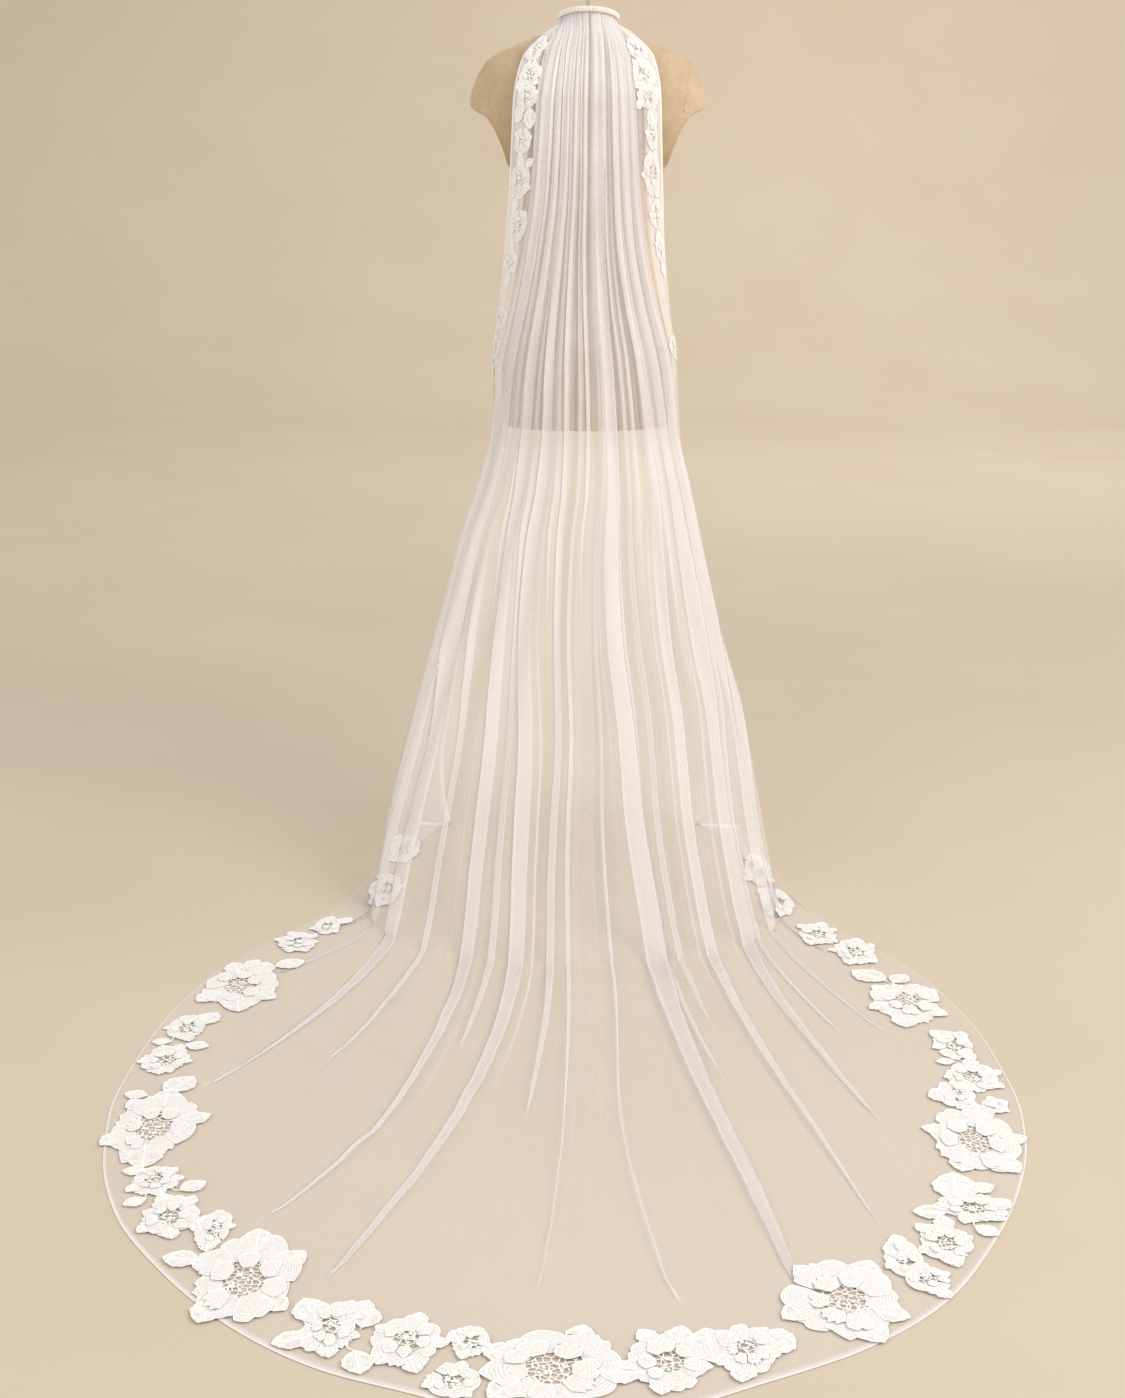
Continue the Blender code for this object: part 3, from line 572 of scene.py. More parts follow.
def lace_material():
    """Corded lace: white stitches in rows that follow each petal's rim, a raised cord on the rim, and a
    lattice of cords with open holes in the middle of each flower. Its colour follows the relief as painted
    light: a painted highlight on the raised cord and painted shade in the field of stitches."""
    made, tree, shader = start_material("corded_flower_lace")
    place = own_space(tree)
    inward = stored(tree, "inward")
    rim = spread(tree, inward, 1.0, 0.0, 0.0010, 0.0024)
    # Rows of stitches lie 1.4 mm apart. They are drawn 3 mm apart, as coarse as they need to show.
    rows = calc(tree, "SINE", calc(tree, "MULTIPLY", inward, 2100.0))
    stitch = noise(tree, place, 700.0, 1.0)
    field = calc(tree, "MULTIPLY_ADD", rows, 0.16, stitch)
    relief_and_painted_light = calc(tree, "MAXIMUM", field, rim)
    solid = spread(tree, relief_and_painted_light, 0.82, 1.0, 0.30, 0.62)
    cords = spread(tree, crackle(tree, place, 125.0), 1.0, 0.0, 0.07, 0.11)
    alpha = add(tree, "Mix", {0: stored(tree, "eye"), 2: solid, 3: cords})
    # Base colour by the relief: a painted highlight on the raised cord and painted shade in the field of
    # stitches
    fill(tree, shader, {
        "Base Color": blend(tree, relief_and_painted_light, "#E9E4DF", "#FDFDFE"), "Alpha": (alpha, 0), "Roughness": 0.72,
        "Specular IOR Level": 0.25, "Sheen Weight": 0.2, "Normal": bump(tree, relief_and_painted_light, 0.22, 0.0006),
    })
    return made


def linen_material():
    """The form's cover: unbleached linen, plain weave, a little uneven in colour and slightly rubbed."""
    made, tree, shader = start_material("unbleached_linen_cover")
    place = own_space(tree)
    # Threads 0.7 mm wide, drawn 1.4 mm wide so that they show.
    upright = add(tree, "Mapping", {"Vector": place, "Scale": (1.0, 1.0, 0.06)})
    level = add(tree, "Mapping", {"Vector": place, "Scale": (0.06, 0.06, 1.0)})
    warp = noise(tree, (upright, 0), 700.0, 1.0)
    weft = noise(tree, (level, 0), 700.0, 1.0)
    weave = calc(tree, "ADD", warp, weft)
    slub = noise(tree, place, 14.0, 6.0)
    slub[0].inputs["Roughness"].default_value = 0.7
    tint = add(tree, "ValToRGB", {0: calc(tree, "MULTIPLY_ADD", weave, 0.18, slub)})
    for stop, position, code in zip(tint.color_ramp.elements, (0.15, 1.0), ("#A5845C", "#D9C4A8")):
        stop.position = position
        stop.color = colour(code)
    fill(tree, shader, {
        "Base Color": (tint, 0), "Roughness": spread(tree, slub, 0.82, 0.96), "Sheen Weight": 0.12,
        "Specular IOR Level": 0.15, "Normal": bump(tree, weave, 0.4, 0.0004),
    })
    return made


def satin_material():
    """Ivory satin of the stay band: smooth, soft gloss, with a faint twill line."""
    made, tree, shader = start_material("ivory_satin_band")
    place = own_space(tree)
    twill = add(tree, "TexWave", {"Vector": place, "Scale": 240.0, "Distortion": 0.4})
    twill.bands_direction = "DIAGONAL"
    cloud = noise(tree, place, 60.0, 2.0)
    fill(tree, shader, {
        "Base Color": blend(tree, cloud, "#EDE4DA", "#FBF6EF"), "Roughness": 0.34, "Sheen Weight": 0.3,
        "Normal": bump(tree, (twill, "Fac"), 0.12, 0.0003),
    })
    return made


def steel_material():
    """Drawn steel wire of the hook: bright, with fine lines along it from the die."""
    made, tree, shader = start_material("drawn_steel_wire")
    place = own_space(tree)
    lines = noise(tree, place, 900.0, 3.0)
    fill(tree, shader, {
        "Base Color": colour("#B4B2AE"), "Metallic": 1.0, "Roughness": spread(tree, lines, 0.26, 0.42),
        "Normal": bump(tree, lines, 0.1, 0.0001),
    })
    return made


def beech_material():
    """Turned beech of the neck cap: pale wood with rings, oiled."""
    made, tree, shader = start_material("oiled_beech")
    place = own_space(tree)
    rings = add(tree, "TexWave", {"Vector": place, "Scale": 55.0, "Distortion": 5.0, "Detail": 3.0})
    rings.bands_direction = "X"
    pores = noise(tree, place, 420.0, 2.0)
    fill(tree, shader, {
        "Base Color": blend(tree, (rings, "Fac"), "#C9A276", "#B48A5C"),
        "Roughness": spread(tree, pores, 0.42, 0.6), "Normal": bump(tree, pores, 0.15, 0.0002),
    })
    return made


def nylon_material():
    """Clear nylon of the comb: milky, moulded, smooth."""
    made, tree, shader = start_material("clear_nylon_comb")
    place = own_space(tree)
    rough = spread(tree, noise(tree, place, 120.0, 2.0), 0.16, 0.3)
    fill(tree, shader, {"Base Color": colour("#E9E6E0"), "Alpha": 0.72, "IOR": 1.5, "Roughness": rough})
    return made


# The dress form
FORM_COLUMNS = ("height", "half_width", "back", "front", "power")
FORM = (
    (0.762, 0.155, 0.112, 0.104, 2.3),
    (0.81, 0.159, 0.116, 0.107, 2.3),
    (0.87, 0.16, 0.117, 0.108, 2.3),
    (0.94, 0.153, 0.107, 0.106, 2.3),
    (1.02, 0.137, 0.09, 0.099, 2.2),
    (1.1, 0.127, 0.083, 0.096, 2.2),
    (1.17, 0.132, 0.09, 0.106, 2.2),
    (1.23, 0.142, 0.098, 0.117, 2.2),
    (1.26, 0.18, 0.101, 0.117, 2.2),
    (1.3, 0.212, 0.103, 0.11, 2.2),
    (1.345, 0.22, 0.101, 0.095, 2.1),
    (1.385, 0.206, 0.089, 0.078, 2.1),
    (1.406, 0.193, 0.078, 0.068, 2.1),
    (1.42, 0.182, 0.07, 0.06, 2.1),
    (1.432, 0.164, 0.064, 0.055, 2.1),
    (1.442, 0.142, 0.059, 0.052, 2.1),
    (1.455, 0.112, 0.053, 0.05, 2.1),
    (1.464, 0.084, 0.05, 0.048, 2.0),
    (1.4715, 0.06, 0.049, 0.048, 2.0),
    (1.478, 0.049, 0.048, 0.048, 2.0),
    (1.497, 0.048, 0.048, 0.048, 2.0),
)
# How far out the arm stubs reach at each height: a short rounded end, then the curve of the armhole
ARM_REACH = (
    (1.224, 0.1435),
    (1.26, 0.1526),
    (1.291, 0.165),
    (1.3156, 0.1797),
    (1.327, 0.1935),
    (1.332, 0.204),
    (1.338, 0.211),
    (1.347, 0.2135),
    (1.358, 0.2125),
    (1.378, 0.2064),
    (1.395, 0.1995),
    (1.409, 0.1925),
)
FORM_SIDES = 160
FORM_LEVELS = 150
ARM_LEVELS = 60
EDGE_ROUND = 0.004
NECK_ROUND = 0.001
# Where the cover's panels meet, as angles round the form in degrees: centre back and front, then the sides
SEAMS = (-90.0, 90.0, -62.0, -118.0, 58.0, 122.0)
SEAM_HALF_WIDTH = 0.0018
# The armhole seam on the form's back, as height and distance from the middle at its two ends
ARM_SEAM = ((1.416, 0.185), (1.33, 0.1725))
SEAM_RISE = 0.0007
SEAM_ENDS = (0.768, 1.4765)
SEAM_STEPS = 150
ARM_SEAM_STEPS = 40


def form_skin(degrees, height):
    """Points of the torso's skin, at angles round it counted from the right side, and heights."""
    level = read_table(fine_table(FORM), FORM_COLUMNS, height)
    c, s = np.cos(np.radians(degrees)), np.sin(np.radians(degrees))
    depth = np.where(s > 0, level["front"], level["back"])
    arm = fine_table(ARM_REACH)
    limit = np.interp(height, arm[:, 0], arm[:, 1])
    stub = (height >= ARM_REACH[0][0]) & (height <= ARM_REACH[-1][0])
    reach = level["half_width"] * np.abs(c) ** (2.0 / level["power"])
    reach = np.where(stub, np.minimum(reach, limit), reach)
    x = np.copysign(reach, c)
    y = depth * np.copysign(np.abs(s) ** (2.0 / level["power"]), s)
    return np.stack([x, y, height + FLOOR + 0.0 * x], axis=-1)


def closed_skin(name, rings):
    """A closed skin through rings of points, with the end rings closed on their middles."""
    first = rings[:1].mean(axis=1, keepdims=True)
    last = rings[-1:].mean(axis=1, keepdims=True)
    near_first = first + (rings[:1] - first) * 0.4
    near_last = last + (rings[-1:] - last) * 0.4
    ends = [first + 0.0 * rings[:1], near_first, rings, near_last, last + 0.0 * rings[:1]]
    rings = np.concatenate(ends)
    sides = rings.shape[1]
    mesh, column, row = grid_mesh(name, sides, len(rings) - 1)
    set_points(mesh, rings[row, column % sides])
    skin = bmesh.new()
    skin.from_mesh(mesh)
    bmesh.ops.remove_doubles(skin, verts=skin.verts, dist=1e-6)
    bmesh.ops.recalc_face_normals(skin, faces=skin.faces)
    skin.to_mesh(mesh)
    skin.free()
    return mesh


def make_form(material):
    heights = np.linspace(FORM[0][0], FORM[-1][0], FORM_LEVELS)
    arm_heights = np.linspace(ARM_REACH[0][0], ARM_REACH[-1][0], ARM_LEVELS)
    heights = np.unique(np.concatenate([heights, arm_heights]))
    low, high = heights[0], heights[-1]
    heights = np.concatenate([[low, low + 0.0012, low + 0.003], heights[1:-1], [high - NECK_ROUND, high]])
    degrees = np.linspace(-180.0, 180.0, FORM_SIDES, endpoint=False) + 1.0
    rings = form_skin(degrees[None], heights[:, None])
    inset = np.zeros(len(heights))
    inset[:2] = EDGE_ROUND, EDGE_ROUND * 0.35
    inset[-1] = NECK_ROUND
    flat = np.hypot(rings[..., 0], rings[..., 1])[..., None]
    rings[..., :2] *= 1.0 - inset[:, None, None] / flat
    form = finish_piece("form_torso", closed_skin("form_torso", rings), material, ["dress_form"])
    heights = np.linspace(*SEAM_ENDS, SEAM_STEPS)
    for index, angle in enumerate(SEAMS):
        make_seam(f"form_seam_{index + 1}", np.full(SEAM_STEPS, angle), heights, material)
    heights = np.linspace(ARM_SEAM[0][0], ARM_SEAM[1][0], ARM_SEAM_STEPS)
    level = read_table(fine_table(FORM), FORM_COLUMNS, heights)
    share = np.interp(heights, *zip(*sorted(ARM_SEAM))) / level["half_width"]
    turn = np.degrees(np.arccos(share ** (level["power"] / 2.0)))
    make_seam("form_arm_seam_right", -turn, heights, material)
    make_seam("form_arm_seam_left", turn - 180.0, heights, material)
    return form


def make_seam(name, degrees, heights, material):
    """A narrow pressed seam on the form's cover."""
    rings = []
    path = form_skin(degrees, heights)
    along = np.gradient(path, axis=0)
    beside = form_skin(degrees + 0.5, heights)
    turns = np.linspace(0.0, 2.0 * math.pi, 8, endpoint=False)
    for middle, step, near in zip(path, along, beside):
        out = np.cross(near - middle, step)
        out /= np.linalg.norm(out)
        side = np.cross(out, step)
        side /= np.linalg.norm(side)
        flat = np.cos(turns)[:, None] * side * SEAM_HALF_WIDTH
        raised = np.sin(turns)[:, None] * out * SEAM_RISE
        rings.append(middle + flat + raised)
    finish_piece(name, closed_skin(name, np.array(rings)), material)


# The hook
WIRE_RADIUS = 0.0025
HOOK_RADIUS = 0.014
HOOK_BASE = 1.5036
HOOK_MOUTH = 35.0
HOOK_SWEEP = 250.0
HOOK_STEM = 0.034
HOOK_BEND = 0.044


def make_hook(material):
    centre = HANG_HEIGHT + WIRE_RADIUS - HOOK_RADIUS
    turns = np.radians(-90.0 - HOOK_MOUTH - np.linspace(0.0, HOOK_SWEEP, 60))
    arc = np.stack([HOOK_RADIUS * np.cos(turns), centre + HOOK_RADIUS * np.sin(turns)], axis=1)
    stem = [(0.0, HOOK_BASE + rise) for rise in np.linspace(0.0, HOOK_STEM, 8)]
    # A soft bend from the stem into the round of the hook
    start = np.array([0.0, HOOK_BASE + HOOK_STEM])
    control = np.array([0.0, HOOK_BASE + HOOK_BEND])
    f = np.linspace(0.0, 1.0, 12)[1:-1, None]
    bend = start * (1 - f) ** 2 + control * 2 * f * (1 - f) + arc[0] * f**2
    path = np.concatenate([np.array(stem), bend, arc])
    along = np.gradient(path, axis=0)
    along /= np.linalg.norm(along, axis=1, keepdims=True)
    angle = np.linspace(0.0, 2.0 * math.pi, 16, endpoint=False)
    rings = []
    for spot, step in zip(path, along):
        across = np.array([-step[1], 0.0, step[0]])
        ring = np.array([spot[0], 0.0, spot[1] + FLOOR]) + WIRE_RADIUS * (
            np.cos(angle)[:, None] * across + np.sin(angle)[:, None] * np.array([0.0, 1.0, 0.0])
        )
        rings.append(ring)
    tip = np.array([path[-1][0], 0.0, path[-1][1] + FLOOR])
    end = np.array([along[-1][0], 0.0, along[-1][1]])
    for turn in (30.0, 60.0, 80.0):
        t = math.radians(turn)
        rings.append(tip + (rings[len(path) - 1] - tip) * math.cos(t) + end * WIRE_RADIUS * math.sin(t))
    mesh = closed_skin("wire_hook", np.array(rings))
    finish_piece("wire_hook", mesh, material, ["hang_hook"])


# The stay band
BAND_RADIUS = 0.0572
BAND_TURN = 76.0
BAND_DROP = 0.0115
BAND_GATHERS = 42
BAND_COLUMNS = 273
BAND_SIDES = 28


def make_band(material):
    """A ruched strip of satin, soft at both edges, over the gathers."""
    share = np.linspace(-1.0, 1.0, BAND_COLUMNS)[:, None]
    section = np.linspace(0.0, 2.0 * math.pi, BAND_SIDES, endpoint=False)[None]
    turn = share * math.radians(BAND_TURN)
    height = TOP_HEIGHT - TOP_ARCH * share ** 2 + 0.001 - BAND_DROP / 2
    swing = 0.35 * np.sin(share * 41.0)
    wave = 0.5 + 0.5 * np.sin(share * math.pi * BAND_GATHERS + swing + 0.5 * np.sin(section))
    thick = 0.0006 + 0.0016 * wave * np.abs(np.cos(section))
    radius = BAND_RADIUS + thick * np.cos(section)
    tall = BAND_DROP / 2 - 0.0012 + 0.0011 * (wave - 0.5)
    rise = tall * np.sign(np.sin(section)) * np.abs(np.sin(section)) ** 0.8
    rings = np.stack([radius * np.sin(turn), -radius * np.cos(turn), height + rise + FLOOR], axis=-1)
    return finish_piece("satin_band", closed_skin("satin_band", rings), material, ["head_band"])


# Lace

# Flowers and leaves are drawn flat as (x, y, lift), and laid on the cloth afterwards. Each point carries
# "inward", how many metres it lies inside its own corded rim, and "eye", 1 in the open lattice.
LACE_GAP = 0.0006
EDGE_LACE_GAP = 0.0014
BARE_FLOOR_GAP = 0.0008
PETAL_ACROSS = 10
PETAL_ALONG = 8
LEAF_ACROSS = 6
LEAF_ALONG = 14
EYE_RINGS = 6
EYE_SIDES = 24


def ring_spot(centre, half, angle, out):
    """A place at an angle round a flower, `out` of the way to its edge."""
    return centre[0] + half[0] * out * math.cos(angle), centre[1] + half[1] * out * math.sin(angle)


def lace_sheet(pattern, across, along, shape, eye=0.0):
    """One small grid of the lace. `shape` gives a vertex its place, lift and inward from -1..1 and 0..1."""
    inward = pattern.verts.layers.float["inward"]
    open_work = pattern.verts.layers.float["eye"]
    made = bmesh.ops.create_grid(pattern, x_segments=across, y_segments=along, size=1.0)["verts"]
    for vert in made:
        x, y, lift, depth = shape(vert.co.x, (vert.co.y + 1.0) / 2.0)
        vert.co = (x, y, lift)
        vert[inward] = depth
        vert[open_work] = eye


def petal_tip(kind, u):
    """How the tip of a petal bulges: round, pointed, notched or three-lobed."""
    if kind == "pointed":
        return 0.13 * (1.0 - abs(u)) ** 1.5 - 0.02
    if kind == "notched":
        return 0.05 - 0.07 * math.exp(-((u / 0.22) ** 2))
    if kind == "lobed":
        return 0.045 * math.cos(3.0 * math.pi * u)
    return 0.03 * (1.0 - u * u)


def draw_petal(pattern, centre, half, angle, reach, width, lift, kind, curl):
    """A petal from reach[0] to reach[1] of the flower's half size, with a raised rim."""
    c, s = math.cos(angle), math.sin(angle)
    start, end = reach
    size = (half[0] + half[1]) / 2.0
    length = (end - start) * size

    def shape(u, t):
        out = start + (end - start) * (t - 0.24 * u * u * t**4) + petal_tip(kind, u) * t**5
        spread = 0.42 + 0.58 * math.sin(math.pi / 2 * t**0.8)
        side = u * width * spread * (1.0 - 0.12 * t**6) + curl * t * t
        depth = min((1.0 - abs(u)) * width * spread * size, (1.0 - t) * length * 0.8)
        rise = lift + 0.0012 * math.sin(math.pi * t) * (1.0 - u * u) + 0.0006 * math.exp(-depth / 0.0012)
        x = centre[0] + half[0] * (out * c - side * s)
        y = centre[1] + half[1] * (out * s + side * c)
        return x, y, rise, depth

    lace_sheet(pattern, PETAL_ACROSS, PETAL_ALONG, shape)


def draw_flower(pattern, centre, half, seed):
    """A flower with two rows of petals round an open, off-centre eye of lattice and beads."""
    rng = random.Random(seed)
    small = min(half) < 0.033
    count = rng.choice((5, 6)) if small else rng.choice((8, 8, 9))
    turn = rng.uniform(0.0, 2.0 * math.pi)
    away = rng.uniform(0.0, 2.0 * math.pi)
    eye = ring_spot(centre, half, away, 0.14)
    kinds = ("round", "lobed", "round", "notched", "pointed", "lobed", "round", "notched", "round")
    for index in range(count):
        angle = turn + 2.0 * math.pi * index / count + rng.uniform(-0.10, 0.10)
        reach = (0.38, rng.uniform(0.84, 0.99))
        width = math.sin(math.pi / count) * rng.uniform(0.86, 1.04)
        kind = kinds[(index + seed) % len(kinds)]
        curl = rng.uniform(-0.06, 0.06)
        draw_petal(pattern, centre, half, angle, reach, width, 0.0004 * (index % 3), kind, curl)
    # Leaf tips stand out from under the petals
    tips = 3 if small else 5
    for index in range(tips):
        angle = turn + 2.0 * math.pi * (index + 0.5) / tips + rng.uniform(-0.35, 0.35)
        reach = rng.uniform(1.06, 1.20)
        base = ring_spot(centre, half, angle, 0.55)
        draw_leaf(pattern, base, ring_spot(centre, half, angle + 0.12, reach), None)
    inner = 3 if small else rng.choice((5, 6))
    for index in range(inner):
        angle = away + math.pi + (index - (inner - 1) / 2) * 5.0 / inner + rng.uniform(-0.15, 0.15)
        reach = (0.33, rng.uniform(0.58, 0.74))
        kind = kinds[(2 * index + seed) % len(kinds)]
        width = rng.uniform(0.19, 0.25)
        draw_petal(pattern, eye, half, angle, reach, width, 0.0016 + 0.0003 * index, kind, 0.0)
    draw_eye(pattern, eye, half, 0.50)
    for index in range(rng.choice((6, 7, 8))):
        draw_bead(pattern, eye, half, away + 2.4 * index, rng.uniform(0.04, 0.27))


def draw_eye(pattern, eye, half, reach):
    """The lattice of cords that fills the open middle of a flower."""

    def shape(u, t):
        return *ring_spot(eye, half, math.pi * u, reach * t), 0.0005, 0.01

    lace_sheet(pattern, EYE_SIDES, EYE_RINGS, shape, 1.0)


def draw_bead(pattern, eye, half, angle, out):
    """A small knot of cord in the eye."""
    open_work = pattern.verts.layers.float["eye"]
    spot = Vector((*ring_spot(eye, half, angle, out), 0.0014))
    made = bmesh.ops.create_icosphere(pattern, subdivisions=1, radius=0.0022)["verts"]
    for vert in made:
        vert.co = Vector((vert.co.x * 1.3, vert.co.y, vert.co.z * 0.5)) + spot
        vert[open_work] = 0.0


def draw_bar(pattern, start, end, bend=0.0):
    """A thin cord between two places, bowed to one side."""
    along = end - start
    side = Vector((-along.y, along.x, 0.0))
    across = side.normalized() * 0.0009

    def shape(u, t):
        place = start.lerp(end, t) + side * bend * math.sin(math.pi * t) + across * u
        return place.x, place.y, place.z + 0.0005 * (1.0 - u * u), 0.0

    lace_sheet(pattern, 2, 8, shape)


def draw_leaf(pattern, base, tip, stem):
    """A leaf with a toothed edge and a raised midrib, and the stem that ties it to a flower."""
    base, tip = Vector(base), Vector(tip)
    along = tip - base
    side = Vector((-along.y, along.x)) * 0.36
    wide = side.length

    def shape(u, t):
        tooth = 1.0 + 0.16 * (1.0 - (4.0 * t % 1.0)) * (1.0 if t > 0.1 else 0.0)
        width = max(math.sin(math.pi * t**0.85) ** 0.8, 0.03) * tooth
        place = base + along * (t + 0.06 * abs(u) * math.sin(math.pi * t)) + side * u * width
        depth = min(1.0 - abs(u), abs(u) + 0.02) * wide * width
        return place.x, place.y, 0.0008 + 0.0006 * math.exp(-depth / 0.001), depth

    lace_sheet(pattern, LEAF_ACROSS, LEAF_ALONG, shape)
    if stem:
        draw_bar(pattern, Vector((*base, 0.0008)), Vector((*stem, 0.0008)), 0.15)


def lace_pattern(flowers, leaves, seed):
    """The flat drawing of one spray, as a mesh."""
    pattern = bmesh.new()
    pattern.verts.layers.float.new("inward")
    pattern.verts.layers.float.new("eye")
    for index, (x, y, half_x, half_y) in enumerate(flowers):
        draw_flower(pattern, (x, y), (half_x, half_y), seed * 17 + index)
    for base_x, base_y, tip_x, tip_y in leaves:
        near = min(flowers, key=lambda f: math.hypot(f[0] - base_x, f[1] - base_y))
        gap = math.hypot(near[0] - base_x, near[1] - base_y)
        share = max(1.0 - 0.4 * (near[2] + near[3]) / max(gap, 1e-6), 0.0)
        stem = (base_x + (near[0] - base_x) * share, base_y + (near[1] - base_y) * share)
        draw_leaf(pattern, (base_x, base_y), (tip_x, tip_y), stem if share > 0.05 else None)
    mesh = bpy.data.meshes.new("lace")
    pattern.to_mesh(mesh)
    pattern.free()
    flat = np.empty(len(mesh.vertices) * 3)
    mesh.vertices.foreach_get("co", flat)
    return mesh, flat.reshape(-1, 3)


# Name, then flowers as their places on the floor and half sizes, then leaves from base to tip
TRAIN_SPRAYS = (
    ("foot_left", ((-.358, -.482, .03, .08), (-.341, -.268, .028, .08)), ()),
    ("left_1", ((-.483, -.726, .035, .043), (-.442, -.656, .024, .04)), ((-.424, -.647, -.404, -.62),)),
    ("left_2", ((-.547, -.903, .061, .085),), ((-.548, -.834, -.534, -.802), (-.504, -.83, -.46, -.806))),
    ("left_3", ((-.602, -1.058, .03, .045), (-.612, -1.165, .036, .045)),
     ((-.589, -1.048, -.565, -1.006), (-.616, -1.107, -.644, -1.107), (-.593, -1.117, -.558, -1.123))),
    ("left_4", ((-.589, -1.364, .061, .098),),
     ((-.593, -1.269, -.562, -1.22), (-.615, -1.278, -.648, -1.272))),
    ("left_5", ((-.558, -1.51, .033, .038), (-.522, -1.596, .038, .051)),
     ((-.574, -1.485, -.604, -1.487), (-.522, -1.535, -.493, -1.513), (-.56, -1.555, -.585, -1.571))),
    ("left_6", ((-.41, -1.732, .064, .098), (-.464, -1.626, .022, .046)),
     ((-.468, -1.696, -.513, -1.689), (-.473, -1.636, -.488, -1.607))),
    ("left_7", ((-.303, -1.832, .034, .053),),
     ((-.321, -1.849, -.361, -1.863), (-.278, -1.818, -.263, -1.779), (-.269, -1.875, -.259, -1.918),
      (-.315, -1.824, -.336, -1.775), (-.266, -1.833, -.256, -1.795))),
    ("bottom_1", ((-.215, -1.859, .04, .052), (-.145, -1.859, .022, .03), (-.161, -1.929, .031, .032)),
     ((-.157, -1.863, -.166, -1.837),)),
    ("bottom_2", ((-.053, -1.905, .082, .075),), ((.036, -1.911, .051, -1.933),)),
    ("bottom_3", ((.066, -1.891, .045, .058), (.152, -1.875, .034, .05)),
     ((.116, -1.898, .111, -1.833), (.171, -1.88, .204, -1.843), (.201, -1.852, .181, -1.837))),
    ("right_7", ((.268, -1.775, .07, .08),), ()),
    ("right_6", ((.353, -1.691, .024, .045), (.372, -1.735, .028, .03)),
     ((.377, -1.754, .392, -1.775), (.353, -1.696, .347, -1.648))),
    ("right_5", ((.408, -1.655, .033, .05), (.457, -1.575, .044, .038)),
     ((.441, -1.562, .448, -1.49), (.461, -1.535, .493, -1.523), (.422, -1.588, .381, -1.586),
      (.45, -1.62, .475, -1.641), (.477, -1.578, .506, -1.559))),
    ("right_4", ((.496, -1.403, .06, .092), (.493, -1.274, .027, .042), (.54, -1.307, .02, .023)),
     ((.482, -1.299, .465, -1.257), (.527, -1.307, .561, -1.296))),
    ("right_3", ((.53, -1.219, .038, .05), (.522, -1.119, .029, .05)),
     ((.52, -1.096, .496, -1.069), (.513, -1.172, .486, -1.172))),
    ("right_2", ((.48, -.965, .055, .081),), ((.461, -.886, .413, -.846), (.47, -.894, .496, -.862))),
    ("right_1", ((.429, -.768, .036, .054), (.378, -.69, .034, .05)), ()),
    ("foot_right", ((.325, -.548, .03, .07), (.31, -.388, .025, .08)), ()),
)
# Name, side, then flowers as distance in from the free edge, height and half sizes, then leaves the same way
EDGE_SPRAYS = (
    ("edge_left_1", -1, ((.0375, 1.435, .028, .024), (.045, 1.391, .03, .024), (.045, 1.353, .028, .024)),
     ((.036, 1.378, .01, 1.368), (.036, 1.34, .018, 1.31), (.056, 1.336, .06, 1.298))),
    ("edge_left_2", -1, ((.041, 1.278, .024, .025),), ((.044, 1.256, .036, 1.232),)),
    ("edge_left_3", -1, ((.041, 1.211, .028, .034), (.05, 1.132, .03, .03)),
     ((.056, 1.236, .074, 1.246), (.04, 1.182, .03, 1.158), (.048, 1.104, .036, 1.082))),
    ("edge_left_4", -1, ((.045, 1.068, .026, .02), (.045, .964, .03, .026), (.045, .9, .03, .037)),
     ((.04, 1.05, .052, 1.024), (.04, .936, .02, .926))),
    ("edge_right_1", 1, ((.05, 1.436, .03, .022), (.05, 1.391, .034, .03), (.045, 1.353, .03, .022)),
     ((.03, 1.368, .008, 1.352), (.044, 1.336, .028, 1.3), (.066, 1.376, .088, 1.392),
      (.06, 1.344, .078, 1.336))),
    ("edge_right_2", 1, ((.038, 1.289, .018, .026), (.041, 1.222, .028, .042), (.035, 1.151, .022, .027)),
     ((.038, 1.312, .034, 1.334), (.044, 1.262, .046, 1.25), (.034, 1.126, .03, 1.092))),
    ("edge_right_3", 1, ((.03, 1.09, .02, .022), (.045, .911, .026, .024)), ((.03, 1.07, .026, 1.04),)),
)


def finish_lace(name, mesh, points, material):
    """A finished spray, which stands for its solid where there is one."""
    set_points(mesh, points)
    node = "lace_" + name
    return finish_piece("lace_on_" + name, mesh, material, [node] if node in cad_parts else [])


def make_train_lace(material, cloth):
    """The sprays on the train, each laid on the top of the cloth under it."""
    tree = BVHTree.FromPolygons(
        [tuple(v.co) for v in cloth.data.vertices], [tuple(p.vertices) for p in cloth.data.polygons]
    )
    pieces = []
    for index, (name, flowers, leaves) in enumerate(TRAIN_SPRAYS):
        mesh, flat = lace_pattern(flowers, leaves, index + 1)
        base = np.full(len(flat), FLOOR + BARE_FLOOR_GAP)
        for i, (x, y, _) in enumerate(flat):
            hit = tree.ray_cast(Vector((x, y, FLOOR + 0.02)), Vector((0.0, 0.0, -1.0)))[0]
            if hit is not None:
                base[i] = hit.z
        points = np.column_stack([flat[:, 0], flat[:, 1], base + LACE_GAP + flat[:, 2]])
        pieces.append(finish_lace(name, mesh, points, material))
    return pieces


def make_edge_lace(material):
    """The sprays down both hanging edges."""
    pieces = []
    for index, (name, side, flowers, leaves) in enumerate(EDGE_SPRAYS):
        mesh, flat = lace_pattern(flowers, leaves, index + 40)
        across = side * (1.0 - flat[:, 0] / CUT_HALF_WIDTH)
        level = 1.0 - flat[:, 1] / top_height(across)
        points = cloth_point(across, level, EDGE_LACE_GAP + flat[:, 2])
        pieces.append(finish_lace(name, mesh, points, material))
    return pieces


# Stage, light and camera

# The floor runs from near to bend, then curves up into the wall. The two shares of the rows are where the
# floor and the curve end.
STAGE_WIDTH = 16.0
STAGE_NEAR = -8.0
STAGE_BEND = 6.0
STAGE_RADIUS = 3.0
STAGE_WALL = 1.6
STAGE_ROWS = 60
STAGE_SHARES = (0.4, 0.8)
STAGE_GAP = 0.0006
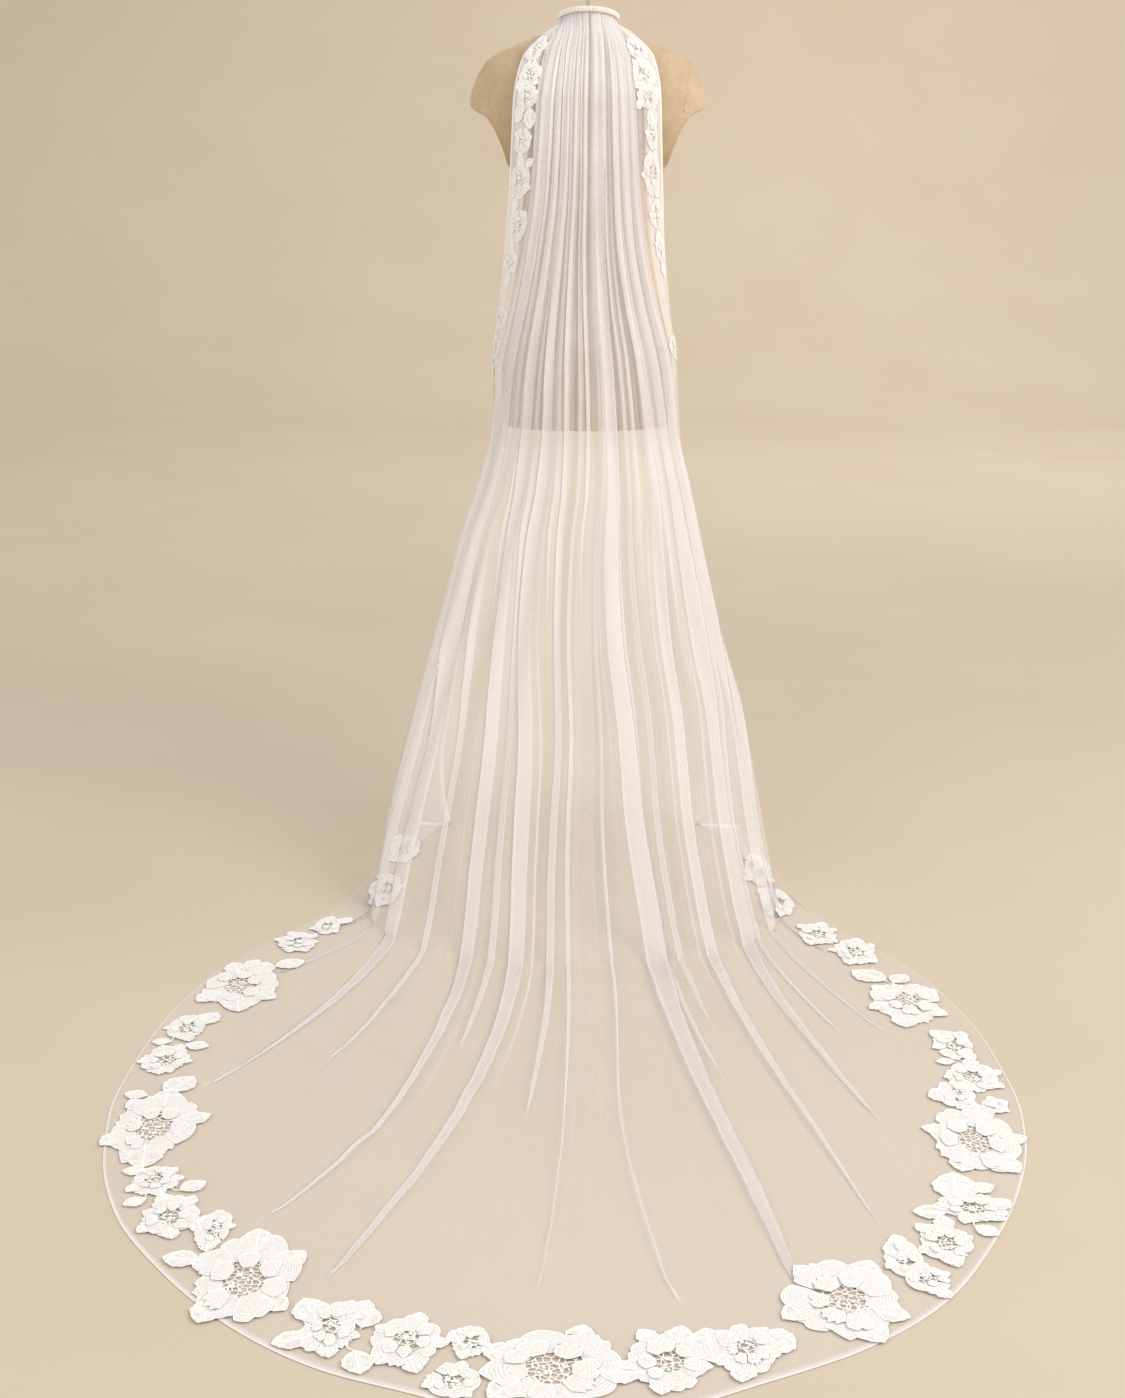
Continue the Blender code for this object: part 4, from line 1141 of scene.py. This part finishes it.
# Name, power in watts, size, place, the point it faces, and colour
LIGHTS = (
    ("window", 152.0, 3.8, (3.7, -2.2, 2.3), (0.0, -0.5, -0.8), "#FFFBF6"),
    ("fill", 29.0, 3.0, (-2.6, -3.4, 1.2), (0.0, -0.6, -0.9), "#FBF8F5"),
    ("wall", 108.0, 4.5, (2.0, 4.0, 2.8), (1.0, 9.0, -0.4), "#FFFBF6"),
)
WORLD_STRENGTH = 0.78
CAMERA_PLACE = (-0.046, -3.706, -0.351)
CAMERA_TILT = 74.83
CAMERA_LENS = 50.0
CAMERA_SENSOR = 36.0


def backdrop_material():
    """Painted studio backdrop: matt warm beige, faintly mottled."""
    made, tree, shader = start_material("painted_backdrop")
    place = own_space(tree)
    mottle = noise(tree, place, 1.3, 3.0)
    grain = noise(tree, place, 260.0, 2.0)
    fill(tree, shader, {
        "Base Color": blend(tree, mottle, "#CEBFAA", "#D7CAB7"), "Roughness": 0.9,
        "Specular IOR Level": 0.1, "Normal": bump(tree, grain, 0.08, 0.0005),
    })
    return made


def make_stage():
    """A floor that sweeps up into the wall."""
    mesh, column, row = grid_mesh("sweep", 4, STAGE_ROWS)
    x = (column / 4.0 - 0.5) * STAGE_WIDTH
    along = row / STAGE_ROWS
    flat, bent = STAGE_SHARES
    curve = np.clip((along - flat) / (bent - flat), 0.0, 1.0) * math.pi / 2
    floor = STAGE_NEAR + along / flat * (STAGE_BEND - STAGE_NEAR)
    y = np.where(along < flat, floor, STAGE_BEND + STAGE_RADIUS * np.sin(curve))
    wall = STAGE_WALL * np.clip((along - bent) / (1.0 - bent), 0.0, 1.0)
    z = STAGE_RADIUS * (1.0 - np.cos(curve)) + wall
    set_points(mesh, np.column_stack([x, y, z + FLOOR - STAGE_GAP]))
    mesh.shade_smooth()
    mesh.materials.append(backdrop_material())
    sweep = bpy.data.objects.new("sweep", mesh)
    bpy.context.scene.collection.objects.link(sweep)


def make_lights():
    for name, power, size, place, target, tint in LIGHTS:
        light = bpy.data.lights.new(name, "AREA")
        light.shape = "DISK"
        light.energy = power
        light.size = size
        light.color = colour(tint)[:3]
        lamp = bpy.data.objects.new(name, light)
        lamp.location = place
        lamp.rotation_euler = (Vector(target) - Vector(place)).to_track_quat("-Z", "Y").to_euler()
        lamp.visible_camera = False
        bpy.context.scene.collection.objects.link(lamp)
    world = bpy.data.worlds.new("studio")
    world.use_nodes = True
    sky = world.node_tree.nodes["Background"]
    fill(world.node_tree, sky, {"Color": colour("#FAF8F5"), "Strength": WORLD_STRENGTH})
    bpy.context.scene.world = world
    bpy.context.scene.view_settings.view_transform = "Standard"


def make_camera():
    camera = bpy.data.cameras.new("camera")
    camera.lens = CAMERA_LENS
    camera.sensor_width = CAMERA_SENSOR
    viewer = bpy.data.objects.new("camera", camera)
    viewer.location = CAMERA_PLACE
    viewer.rotation_euler = (math.radians(CAMERA_TILT), 0.0, 0.0)
    bpy.context.scene.collection.objects.link(viewer)
    bpy.context.scene.camera = viewer


lace = lace_material()
linen = linen_material()
cloth = make_tulle(tulle_material())
sprays = make_train_lace(lace, cloth) + make_edge_lace(lace)
form = make_form(linen)
make_hook(steel_material())
band = make_band(satin_material())
for node, material in (("neck_cap", beech_material()), ("comb", nylon_material())):
    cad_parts[node].data.materials.clear()
    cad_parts[node].data.materials.append(material)
make_stage()
make_lights()
make_camera()
